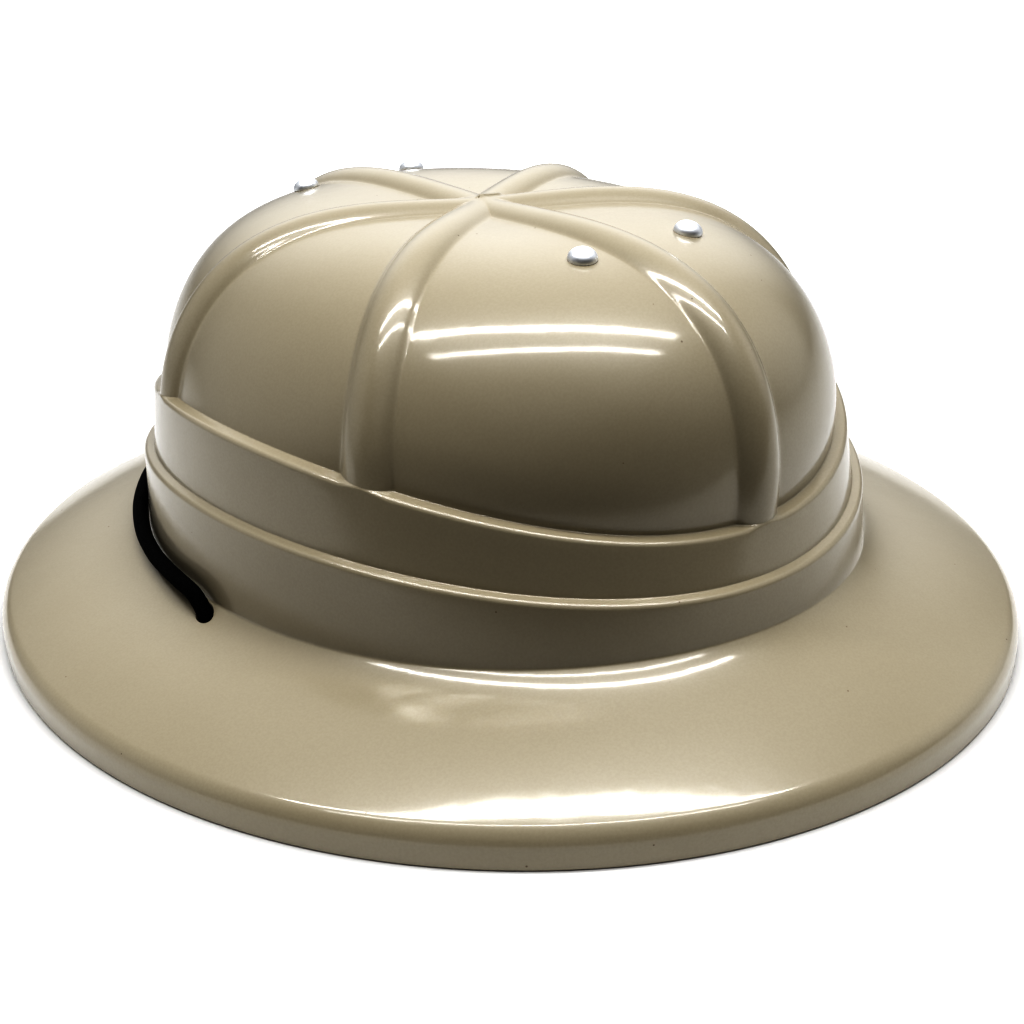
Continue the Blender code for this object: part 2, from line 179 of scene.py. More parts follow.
def mesh_piece(name: str, points: Array, quads: Array, triangles: Array) -> Piece:
    """Put arrays into a new mesh object, shaded smooth with sharp creases.

    Args:
        name: the piece's name.
        points: vertices, of shape (n, 3).
        quads: four-cornered faces, as vertex numbers.
        triangles: three-cornered faces, as vertex numbers.

    Returns:
        The object, at the origin.
    """
    mesh = bpy.data.meshes.new(name)
    mesh.vertices.add(len(points))
    mesh.vertices.foreach_set("co", points.astype(np.float32).ravel())
    corners = np.concatenate([quads.ravel(), triangles.ravel()]).astype(np.int32)
    mesh.loops.add(len(corners))
    mesh.loops.foreach_set("vertex_index", corners)
    first_triangle = quads.size
    starts = np.concatenate([np.arange(0, first_triangle, 4),
                             np.arange(first_triangle, len(corners), 3)]).astype(np.int32)
    mesh.polygons.add(len(starts))
    mesh.polygons.foreach_set("loop_start", starts)
    mesh.update(calc_edges=True)
    mesh.validate()
    mesh.shade_smooth()
    mesh.set_sharp_from_angle(angle=CREASE)
    made = bpy.data.objects.new(name, mesh)
    bpy.context.scene.collection.objects.link(made)
    return made


def turned_faces(rows: int, columns: int) -> tuple[Array, Array]:
    """Faces of a grid that closes round its columns and ends in a pole at each end.

    Vertex r * columns + c is the grid's point (r, c); the two poles follow the grid.

    Args:
        rows: number of rows.
        columns: number of columns.

    Returns:
        The four-cornered faces and the three-cornered faces.
    """
    here = np.arange(columns)
    beside = (here + 1) % columns
    row = np.arange(rows - 1)[:, None] * columns
    quads = np.stack([row + here, row + beside, row + columns + beside, row + columns + here], -1)
    low, high = np.full(columns, rows * columns), np.full(columns, rows * columns + 1)
    last = (rows - 1) * columns
    triangles = np.concatenate([np.stack([low, beside, here], -1),
                                np.stack([last + here, last + beside, high], -1)])
    return quads.reshape(-1, 4), triangles


def turned_piece(name: str, grid: Array, low: Array, high: Array) -> Piece:
    """A closed piece from a grid and its two poles.

    Args:
        name: the piece's name.
        grid: points of shape (rows, columns, 3).
        low: the pole before the first row.
        high: the pole after the last row.

    Returns:
        The object, at the origin.
    """
    quads, triangles = turned_faces(*grid.shape[:2])
    points = np.concatenate([grid.reshape(-1, 3), low[None], high[None]])
    return mesh_piece(name, points, quads, triangles)


def clothe(piece: Piece, look: bpy.types.Material, node: str) -> None:
    """Give a piece its finish and its body, and hide the solid that it stands for.

    Args:
        piece: the piece.
        look: its material.
        node: the frame's node that it stands for.
    """
    piece.data.materials.clear()
    piece.data.materials.append(look)
    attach(piece, "root")
    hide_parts(node)
    log.info("%s stands for %s: %d faces", piece.name, node, len(piece.data.polygons))


# ------------------------------------------------------------------ the shell's form


class Skin(Enum):
    """The two sides of the shell's wall."""

    OUTER = "outer"
    INNER = "inner"


@dataclass(frozen=True)
class Steps:
    """How many steps one skin takes along each stretch of its section."""

    lip: int
    edge: int
    slope: int
    ridge: int
    nook: int
    dome: int


@dataclass(frozen=True)
class Ring:
    """A line round the helmet: an ellipse in plan whose height waves twice a turn."""

    half_length: float
    half_width: float
    height: float
    dip: float = 0.0

    def radius(self, bearing: Array) -> Array:
        """Distance from the middle: a b / hypot(b cos t, a sin t)."""
        across = np.hypot(self.half_width * np.cos(bearing), self.half_length * np.sin(bearing))
        return self.half_length * self.half_width / across

    def level(self, bearing: Array) -> Array:
        """Height: h - dip cos(2 u), with u the ellipse's own angle at the bearing."""
        turn = np.arctan2(self.half_length * np.sin(bearing), self.half_width * np.cos(bearing))
        return self.height - self.dip * np.cos(2.0 * turn)


@dataclass(frozen=True)
class Dome:
    """The smooth crown under the ribs.

    Its section is a cubic curve drawn by two control points, and its plan an ellipse that narrows
    and grows squarer with height.
    """

    half_length: float = 107.6 * MM
    half_width: float = 88.9 * MM
    base: float = 72.4 * MM
    rise: float = 44.6 * MM
    narrowing: float = 0.10
    squareness: float = 0.11
    shoulder: tuple[float, float] = (0.93, 1.317)
    crown: tuple[float, float] = (0.224, 0.923)
    ledge: Ring = Ring(111.1 * MM, 92.2 * MM, 64.1 * MM, 9.3 * MM)
    ledge_depth: float = 3.7 * MM
    ledge_rise: float = 0.5 * MM
    flare_height: float = 16.0 * MM
    foot_limits: tuple[float, float] = (-0.2, 0.3)

    def bare(self, bearing: Array, along: Array) -> tuple[Array, Array]:
        """The dome before the flare at its foot.

        Formula: the section's spread times the radius of |cos t / a|^p + |sin t / b|^p = 1, and
        the base plus the section's rise.  Both are cubics of the place on the section, weighed by
        the shoulder's and the crown's control points.

        Args:
            bearing: bearings of the places.
            along: their places on the section, 0 at the base and 1 at the top.

        Returns:
            Their radius and height.
        """
        back = 1.0 - along
        early, late = 3.0 * back * back * along, 3.0 * back * along * along
        spread = back ** 3 + early * self.shoulder[0] + late * self.crown[0]
        rise = early * self.shoulder[1] + late * self.crown[1] + along ** 3
        power = 2.0 + self.squareness * np.maximum(rise, 0.0)
        width = self.half_width * (1.0 - self.narrowing * rise)
        reach = np.abs(np.cos(bearing) / self.half_length) ** power
        reach = reach + np.abs(np.sin(bearing) / width) ** power
        return spread * reach ** (-1.0 / power), self.base + self.rise * rise

    def foot(self, bearing: Array) -> Array:
        """Where the dome stands on the upper ledge.

        Args:
            bearing: bearings of the places.

        Returns:
            The place on the section at each bearing.
        """
        target = self.ledge.level(bearing) + self.ledge_rise
        low, high = (np.full_like(target, limit) for limit in self.foot_limits)
        return halve(low, high, lambda along: self.bare(bearing, along)[1] < target)

    def point(self, bearing: Array, along: Array) -> tuple[Array, Array]:
        """The dome, flared at the foot to meet the upper ledge.

        Formula: the flare fades with the square of the height that is left of its own.

        Args:
            bearing: bearings of the places.
            along: their places on the section.

        Returns:
            Their radius and height.
        """
        foot_radius, foot_height = self.bare(bearing, self.foot(bearing))
        flare = self.ledge.radius(bearing) - self.ledge_depth - foot_radius
        radius, height = self.bare(bearing, along)
        fade = np.clip(1.0 - (height - foot_height) / self.flare_height, 0.0, None)
        return radius + flare * fade * fade, height

    def normal(self, bearing: Array, along: Array) -> tuple[Array, Array]:
        """Outward unit normal of the section, by small differences.

        Args:
            bearing: bearings of the places.
            along: their places on the section.

        Returns:
            The normal's parts outwards and upwards.
        """
        low = self.point(bearing, along - PROBE)
        high = self.point(bearing, np.minimum(along + PROBE, 1.0))
        run, rise = high[0] - low[0], high[1] - low[1]
        length = np.hypot(run, rise)
        return rise / length, -run / length


@dataclass(frozen=True)
class Ribs:
    """The raised ribs: round-backed, with a small fillet where they leave the panels."""

    bearings: tuple[float, ...] = tuple(np.radians([0.0, 57.6, 115.8, 180.0, 244.2, 302.4]))
    half_width: float = 7.2 * MM
    top_half_width: float = 6.4 * MM
    foot_height: float = 3.4 * MM
    top_height: float = 2.6 * MM
    sector_share: float = 0.46
    root_blend: float = 0.75 * MM
    valley_blend: float = 0.35 * MM

    def height(self, bearing: Array, radius: Array, along: Array, inset: float) -> Array:
        """Height of the ribs above the dome.

        Formula: each rib is an arc of a circle through its two edges and its crest; the two that
        stand highest at a place are blended with each other and then with the bare dome.

        Args:
            bearing: bearings of the places.
            radius: their distances from the middle.
            along: their places up the dome, 0 to 1.
            inset: how much narrower each rib is on either side, for the inner skin.

        Returns:
            The height at each place.
        """
        up = np.clip(along, 0.0, 1.0)
        crest = self.foot_height + (self.top_height - self.foot_height) * up
        half = self.half_width + (self.top_half_width - self.half_width) * up - inset
        arc = (half * half + crest * crest) / (2.0 * crest)
        heights = []
        for rib in self.bearings:
            off = bearing - rib
            across = radius * np.sin(off)
            back = crest - arc + np.sqrt(np.clip(arc * arc - across * across, 0.0, None))
            heights.append(np.where(np.cos(off) > -TINY, back, crest - arc))
        ordered = np.sort(np.stack(heights), axis=0)
        joined = smooth_max(ordered[-1], ordered[-2], self.valley_blend)
        return smooth_max(joined, np.zeros_like(joined), self.root_blend)

    def half_angle(self, radius: Array, gap: float) -> Array:
        """Half the angle that a rib takes up, at distances from the middle."""
        widest = np.sin(self.sector_share * gap)
        return np.arcsin(np.minimum(self.half_width / np.maximum(radius, TINY), widest))


@dataclass(frozen=True)
class Nub:
    """The mark that the mould's inlet leaves at the top: a short ridge with a pit at one end."""

    start: tuple[float, float] = (-1.5 * MM, 0.2 * MM)
    end: tuple[float, float] = (5.9 * MM, 0.2 * MM)
    width: float = 0.75 * MM
    height: float = 0.55 * MM
    pit_radius: float = 0.6 * MM
    pit_depth: float = 1.1 * MM
    dish_radius: float = 9.0 * MM
    dish_depth: float = 0.45 * MM

    def lift(self, points: Array) -> Array:
        """Height to add: a ridge in a shallow dish, less a round pit at the ridge's start.

        Formula: h exp(-(d / w)^4) for the distance d to the line from start to end, less
        p exp(-(s / r)^2) for the distance s to its start, less the dish, of the same form about
        the helmet's middle.

        Args:
            points: places, with x, y and z along the last axis.

        Returns:
            The height to add at each place.
        """
        start, end = np.array(self.start), np.array(self.end)
        run = end - start
        plan = points[..., :2] - start
        share = np.clip((plan @ run) / (run @ run), 0.0, 1.0)
        away = np.linalg.norm(plan - share[..., None] * run, axis=-1)
        ridge = self.height * np.exp(-(away / self.width) ** 4)
        pit = self.pit_depth * np.exp(-(np.linalg.norm(plan, axis=-1) / self.pit_radius) ** 2)
        middle = np.linalg.norm(points[..., :2], axis=-1)
        return ridge - pit - self.dish_depth * np.exp(-(middle / self.dish_radius) ** 2)


@dataclass
class HelmetShell:
    """The one-piece moulding: crown, ribs, stepped bands and brim."""

    brim_edge: Ring = Ring(160.0 * MM, 145.88 * MM, 9.0 * MM)
    band_foot: Ring = Ring(117.3 * MM, 98.4 * MM, 27.5 * MM, -1.9 * MM)
    lower_edge: Ring = Ring(116.3 * MM, 97.4 * MM, 46.9 * MM, 5.1 * MM)
    upper_edge: Ring = Ring(111.1 * MM, 92.2 * MM, 64.1 * MM, 9.3 * MM)
    dome: Dome = Dome()
    ribs: Ribs = Ribs()
    nub: Nub = Nub()
    wall: float = 2.0 * MM
    rib_inset: float = 1.6 * MM
    edge_slope: float = np.tan(np.radians(26.6))
    edge_steepness: float = 1.227
    foot_flare: float = 0.70
    flare_reach: float = 5.0 * MM
    slope_reach: float = 0.97
    arrival_reach: float = 8.0
    band_lean: float = 2.2 * MM
    brim_round: float = 9.0 * MM
    lip_round: float = 0.4 * MM
    foot_round: float = 1.0 * MM
    ridge_round: float = 1.5 * MM
    nook_round: float = 0.35 * MM
    above_foot: float = 0.02
    crowding: float = 1.25
    outer_steps: Steps = Steps(lip=4, edge=18, slope=30, ridge=8, nook=5, dome=86)
    inner_steps: Steps = Steps(lip=4, edge=8, slope=14, ridge=3, nook=3, dome=34)
    foot_steps: int = 10
    lower_band_steps: int = 5
    upper_band_steps: int = 4
    rib_steps: int = 12
    panel_steps: int = 34

    def corners(self, bearing: Array) -> list[Array]:
        """The section's corners below the dome, from the ground up.

        Args:
            bearing: bearing of each column.

        Returns:
            The lip, the brim's edge, the foot, the lower band's edge, the step behind it, the
            upper band's edge, the dome's foot and a place a little above it, each of shape
            (columns, 2).
        """
        foot = self.dome.foot(bearing)
        edge = self.brim_edge.radius(bearing)
        lower, upper = self.lower_edge.level(bearing), self.upper_edge.level(bearing)
        step = self.upper_edge.radius(bearing) + self.band_lean
        places = [
            (edge, np.zeros_like(edge)),
            (edge, np.full_like(edge, self.brim_edge.height)),
            (self.band_foot.radius(bearing), self.band_foot.level(bearing)),
            (self.lower_edge.radius(bearing), lower),
            (step, lower + self.dome.ledge_rise),
            (self.upper_edge.radius(bearing), upper),
            self.dome.point(bearing, foot),
            self.dome.point(bearing, foot + self.above_foot),
        ]
        return [np.stack(place, -1) for place in places]

    def brim_slope(self, start: Array, end: Array, edge_slope: Array, steps: int) -> Array:
        """The brim from its rounded edge to the foot of the bands.

        Formula: the slope leaves the edge at a given value m, falls evenly along the way, and
        grows again by f exp(-d / w) at the distance d from the foot; how fast it falls follows
        from the height to be climbed.

        Args:
            start: where the rounded edge ends, one row per column.
            end: the corner at the foot of the bands.
            edge_slope: slope at the rounded edge, one value per column.
            steps: number of rows.

        Returns:
            Points of shape (steps, columns, 2).
        """
        run = start[:, 0] - end[:, 0]
        mean_slope = (end[:, 1] - start[:, 1]) / run
        reach = self.flare_reach / run
        flare = self.foot_flare * reach
        fade = np.exp(-1.0 / reach)
        fall = 2.0 * (edge_slope - mean_slope + flare * (1.0 - fade))
        share = (self.slope_reach * np.arange(1, steps + 1) / steps)[:, None]
        climb = edge_slope * share - fall / 2.0 * share ** 2
        climb = climb + flare * (np.exp((share - 1.0) / reach) - fade)
        return start + np.stack([-run * share, run * climb], -1)

    def brim_side(self, corners: list[Array], radius: float, steps: Steps) -> list[Array]:
        """One side of the brim: its rounded edge, its slope and its foot.

        Args:
            corners: the lip, the edge, the foot and the lower band's edge.
            radius: radius of the rounded edge.
            steps: the skin's steps.

        Returns:
            The rows of each stretch.
        """
        lip, edge, foot, band = corners
        run, rise = (edge - foot)[:, 0], (foot - edge)[:, 1]
        edge_slope = np.minimum(self.edge_slope, self.edge_steepness * rise / run)
        inwards = edge + np.stack([-run, edge_slope * run], -1)
        rounded = fillet(lip, edge, inwards, radius, steps.edge)
        slope = self.brim_slope(rounded[-1], foot, edge_slope, steps.slope)
        arrival = foot + (slope[-1] - foot) * self.arrival_reach
        return [rounded, slope, fillet(arrival, foot, band, self.foot_round, self.foot_steps)]

    def outer_section(self, bearing: Array) -> Array:
        """The outer section, from the lip to the dome's foot.

        Args:
            bearing: bearing of each column.

        Returns:
            Points of shape (rows, columns, 2): radius and height.
        """
        lip, edge, foot, lower, step, upper, dome, above = self.corners(bearing)
        rib = self.ribs.height(bearing, dome[:, 0], np.zeros_like(bearing), 0.0)
        dome[:, 0] += rib
        above[:, 0] += rib
        inside_lip = lip - np.array([self.wall, 0.0])
        count = self.outer_steps
        brim = self.brim_side([lip, edge, foot, lower], self.brim_round, count)
        rows = [
            fillet(inside_lip, lip, edge, self.lip_round, count.lip),
            *brim,
            straight(brim[-1][-1], lower, self.lower_band_steps),
            fillet(foot, lower, step, self.ridge_round, count.ridge),
            fillet(lower, step, upper, self.nook_round, count.nook),
            straight(step, upper, self.upper_band_steps),
            fillet(step, upper, dome, self.ridge_round, count.ridge),
            fillet(upper, dome, above, self.nook_round, count.nook),
        ]
        return np.concatenate(rows)

    def inner_section(self, bearing: Array) -> Array:
        """The inner section: the outer one moved in by the wall.

        Args:
            bearing: bearing of each column.

        Returns:
            Points of shape (rows, columns, 2): radius and height.
        """
        outside = self.corners(bearing)
        inside = [outside[0] - np.array([self.wall, 0.0])]
        for before, corner, after in zip(outside, outside[1:], outside[2:]):
            inside.append(offset_corner(before, corner, after, self.wall))
        lip, edge, foot, lower, step, upper, dome = inside
        dome[:, 0] += self.ribs.height(bearing, outside[-2][:, 0], np.zeros_like(bearing),
                                       self.rib_inset)
        count = self.inner_steps
        rows = [
            fillet(outside[0], lip, edge, self.lip_round, count.lip),
            *self.brim_side([lip, edge, foot, lower], self.brim_round - self.wall, count),
            fillet(foot, lower, step, self.nook_round, count.nook),
            fillet(lower, step, upper, self.ridge_round, count.ridge),
            fillet(step, upper, dome, self.nook_round, count.nook),
            dome[None],
        ]
        return np.concatenate(rows)

    def rib_radius(self, rib: float, share: Array) -> Array:
        """Distance of the dome from the middle along a rib.

        Args:
            rib: the rib's bearing.
            share: places on the way up from the dome's foot, 0 to 1.

        Returns:
            The distance at each place.
        """
        bearing = np.full_like(share, rib)
        foot = self.dome.foot(bearing)
        return self.dome.point(bearing, foot + (1.0 - foot) * share)[0]

    def columns(self, share: Array) -> Array:
        """Bearings of each column at each dome row, following the ribs' edges.

        A column keeps its share of a rib or of a panel all the way up, so the ribs keep their
        width while the columns draw together at the top.  Formula: from a rib's crest to its edge
        the shares are sin(s) for even steps of s over a quarter turn, and across a panel they are
        (1 - cos(s)) / 2 over half a turn, so both crowd at the ribs' edges.

        Args:
            share: places up the dome, 0 to 1, one for each row.

        Returns:
            Bearings of shape (rows, columns).
        """
        to_edge = np.sin(np.linspace(0.0, np.pi / 2.0, self.rib_steps + 1))
        across = (1.0 - np.cos(np.linspace(0.0, np.pi, self.panel_steps + 1))) / 2.0
        parts = []
        ring = list(self.ribs.bearings) + [self.ribs.bearings[0] + 2.0 * np.pi]
        for rib, after in zip(ring, ring[1:]):
            gap = after - rib
            near = self.ribs.half_angle(self.rib_radius(rib, share), gap)[:, None]
            far = self.ribs.half_angle(self.rib_radius(after, share), gap)[:, None]
            parts.append(rib + near * to_edge[:-1])
            parts.append(rib + near + (gap - near - far) * across)
            parts.append(rib + gap - far * to_edge[-2:0:-1])
        return np.concatenate(parts, axis=1)

    def dome_grid(self, skin: Skin) -> tuple[Array, Array]:
        """One skin of the dome, its rows drawn together towards the top.

        Formula: the dome's point, moved along its normal by the ribs' height, and for the inner
        skin back by the wall.

        Args:
            skin: the side of the wall.

        Returns:
            Points of shape (rows, columns, 3), and the bearings of the columns at the foot.
        """
        inner = skin is Skin.INNER
        rows = (self.inner_steps if inner else self.outer_steps).dome
        climb = 1.0 - (1.0 - np.linspace(0.0, 1.0, rows + 1)) ** self.crowding
        bearing = self.columns(climb)
        foot = self.dome.foot(bearing[0])
        along = foot + (1.0 - foot) * climb[1:-1, None]
        turn = bearing[1:-1]
        radius, height = self.dome.point(turn, along)
        out, up = self.dome.normal(turn, along)
        lift = self.ribs.height(turn, radius, along, self.rib_inset if inner else 0.0)
        lift = lift - (self.wall if inner else 0.0)
        points = on_bearing(turn, radius + out * lift, height + up * lift)
        if not inner:
            points[..., 2] += self.nub.lift(points)
        return points, bearing[0]

    def top(self, skin: Skin) -> Array:
        """The skin's point in the middle of the top.

        Args:
            skin: the side of the wall.

        Returns:
            The point.
        """
        crest = self.ribs.top_height + self.ribs.valley_blend / 4.0
        place = np.array([0.0, 0.0, self.dome.base + self.dome.rise + crest])
        if skin is Skin.INNER:
            place[2] -= self.wall
        else:
            place[2] += self.nub.lift(place)
        return place

    def build(self) -> Piece:
        """The closed shell: inner top, down inside, round the lip, up outside to the top.

        Returns:
            The shell, not yet drilled.
        """
        outer, bearing = self.dome_grid(Skin.OUTER)
        inner, _ = self.dome_grid(Skin.INNER)
        below_in = self.inner_section(bearing)
        below_out = self.outer_section(bearing)
        below_in = on_bearing(bearing, below_in[..., 0], below_in[..., 1])
        below_out = on_bearing(bearing, below_out[..., 0], below_out[..., 1])
        grid = np.concatenate([inner[::-1], below_in[::-1], below_out, outer])
        return turned_piece("helmet_shell", grid, self.top(Skin.INNER), self.top(Skin.OUTER))

    def dress(self, piece: Piece, look: bpy.types.Material) -> None:
        """Give the shell its finish and its place in the frame."""
        clothe(piece, look, "shell")


# ------------------------------------------------------------------ holes, rivets and strap


def turned_matrix(place: Vector, direction: Vector) -> Matrix:
    """The matrix that takes a piece's own Z axis to a direction and its origin to a place."""
    turn = direction.to_track_quat("Z", "Y").to_matrix().to_4x4()
    return Matrix.Translation(place) @ turn


def carried(points: Array, matrix: Matrix) -> Array:
    """Points carried by a matrix."""
    m = np.array(matrix)
    return points @ m[:3, :3].T + m[:3, 3]


def lathe(profile: Array, sides: int) -> Array:
    """Turn a profile round the Z axis.

    Formula: x = r cos t, y = r sin t, z = h, for each radius r and height h.

    Args:
        profile: rows of radius and height.
        sides: number of columns.

    Returns:
        Points of shape (rows, sides, 3).
    """
    turn = np.linspace(0.0, 2.0 * np.pi, sides, endpoint=False)
    radius, height = profile[:, :1], profile[:, 1:]
    level = np.broadcast_to(height, (len(profile), sides))
    return np.stack([radius * np.cos(turn), radius * np.sin(turn), level], -1)


@dataclass(frozen=True)
class Bore:
    """A round hole through the shell."""

    place: Vector
    direction: Vector
    radius: float
    depth: float
    sides: int = 40

    def cutter(self) -> tuple[Array, Array, Array]:
        """A closed cylinder along the hole.

        Returns:
            Its grid and its two poles.
        """
        half = self.depth / 2.0
        profile = np.array([[self.radius, -half], [self.radius, half]])
        matrix = turned_matrix(self.place, self.direction)
        poles = carried(np.array([[0.0, 0.0, -half], [0.0, 0.0, half]]), matrix)
        return carried(lathe(profile, self.sides), matrix), poles[0], poles[1]


def drill(shell: Piece, bores: list[Bore]) -> None:
    """Cut round holes through the shell in one go.

    Args:
        shell: the shell, whose mesh is changed.
        bores: the holes.
    """
    points, quads, triangles, count = [], [], [], 0
    for bore in bores:
        grid, low, high = bore.cutter()
        four, three = turned_faces(*grid.shape[:2])
        points += [grid.reshape(-1, 3), low[None], high[None]]
        quads.append(four + count)
        triangles.append(three + count)
        count += grid.shape[0] * grid.shape[1] + 2
    tool = mesh_piece("bores", *(np.concatenate(rows) for rows in (points, quads, triangles)))
    cut = shell.modifiers.new("bores", "BOOLEAN")
    cut.operation, cut.solver, cut.object = "DIFFERENCE", "EXACT", tool
    state = shell.evaluated_get(bpy.context.evaluated_depsgraph_get())
    drilled = bpy.data.meshes.new_from_object(state)
    shell.modifiers.clear()
    whole, shell.data = shell.data, drilled
    drilled.name = shell.name
    drilled.shade_smooth()
    drilled.set_sharp_from_angle(angle=CREASE)
    bpy.data.meshes.remove(whole)
    bpy.data.objects.remove(tool)


@dataclass
class Rivet:
    """A domed rivet: a satin head outside, a shank through the wall and a flat tail inside."""

    name: str
    seat: tuple[float, float]
    head_radius: float = 3.9 * MM
    head_height: float = 3.2 * MM
    head_rim: float = 0.45 * MM
    head_sunk: float = 0.05 * MM
    shank_radius: float = 1.5 * MM
    tail_radius: float = 3.1 * MM
    tail_height: float = 1.0 * MM
    tail_seat: float = 0.6 * MM
    edge_round: float = 0.22 * MM
    hole_gap: float = 0.3 * MM
    hole_depth: float = 12.0 * MM
    seat_limits: tuple[float, float] = (0.1, 1.0)
    face_shares: tuple[float, float] = (0.3, 0.7)
    edge_steps: int = 6
    cap_steps: int = 19
    sides: int = 72

    def stand(self, shell: HelmetShell) -> tuple[Vector, Vector]:
        """The place on the bare dome under the head, and the dome's normal there.

        Formula: the place is found by halving, and the normal is the cross product of two short
        steps over the dome.

        Args:
            shell: the shell that carries the rivet.

        Returns:
            The point and the unit normal.
        """
        x, y = self.seat
        bearing, distance = np.array([np.arctan2(x, -y)]), np.hypot(x, y)
        dome = shell.dome
        low, high = (np.array([limit]) for limit in self.seat_limits)
        along = halve(low, high, lambda up: dome.point(bearing, up)[0] > distance)
        place = on_bearing(bearing, *dome.point(bearing, along))[0]
        beside = on_bearing(bearing + PROBE, *dome.point(bearing + PROBE, along))[0]
        above = on_bearing(bearing, *dome.point(bearing, along + PROBE))[0]
        return Vector(place), Vector(np.cross(beside - place, above - place)).normalized()

    def bore(self, shell: HelmetShell) -> Bore:
        """The hole that the shank passes through."""
        return Bore(*self.stand(shell), self.shank_radius + self.hole_gap, self.hole_depth)

    def profile(self, wall: float) -> Array:
        """The rivet's outline, from the tail's middle to the top.

        Formula: the cap is a quarter ellipse, r cos t and h sin t, over a short upright rim, and
        the edges of the head and the tail are quarter rounds.

        Args:
            wall: thickness of the shell.

        Returns:
            Rows of radius and height.
        """
        tail_top = -wall - self.tail_seat
        tail_foot = tail_top - self.tail_height
        corner = self.edge_round
        turn = np.linspace(0.0, np.pi / 2.0, self.edge_steps + 1)
        quarter = corner * np.stack([np.sin(turn) - 1.0, 1.0 - np.cos(turn)], -1)
        face = np.array([[self.tail_radius * share, tail_foot] for share in self.face_shares])
        tail = quarter + np.array([self.tail_radius, tail_foot])
        shank = np.array([
            [self.tail_radius, tail_top],
            [self.shank_radius, tail_top],
            [self.shank_radius, -self.head_sunk],
            [self.head_radius - corner, -self.head_sunk],
        ])
        under = quarter + np.array([self.head_radius, -self.head_sunk])
        arc = np.linspace(0.0, np.pi / 2.0, self.cap_steps + 1)[:-1]
        cap = np.stack([self.head_radius * np.cos(arc),
                        self.head_rim + (self.head_height - self.head_rim) * np.sin(arc)], -1)
        return np.concatenate([face, tail, shank, under, cap])

    def build(self, shell: HelmetShell) -> Piece:
        """The rivet, turned round its axis and stood on the shell.

        Args:
            shell: the shell that carries it.

        Returns:
            The rivet.
        """
        matrix = turned_matrix(*self.stand(shell))
        profile = self.profile(shell.wall)
        ends = np.array([[0.0, 0.0, profile[0, 1]], [0.0, 0.0, self.head_height]])
        grid = carried(lathe(profile, self.sides), matrix)
        return turned_piece(self.name, grid, *carried(ends, matrix))

    def dress(self, piece: Piece, look: bpy.types.Material) -> None:
        """Give the rivet its finish and its place in the frame."""
        clothe(piece, look, "vent_" + self.name)


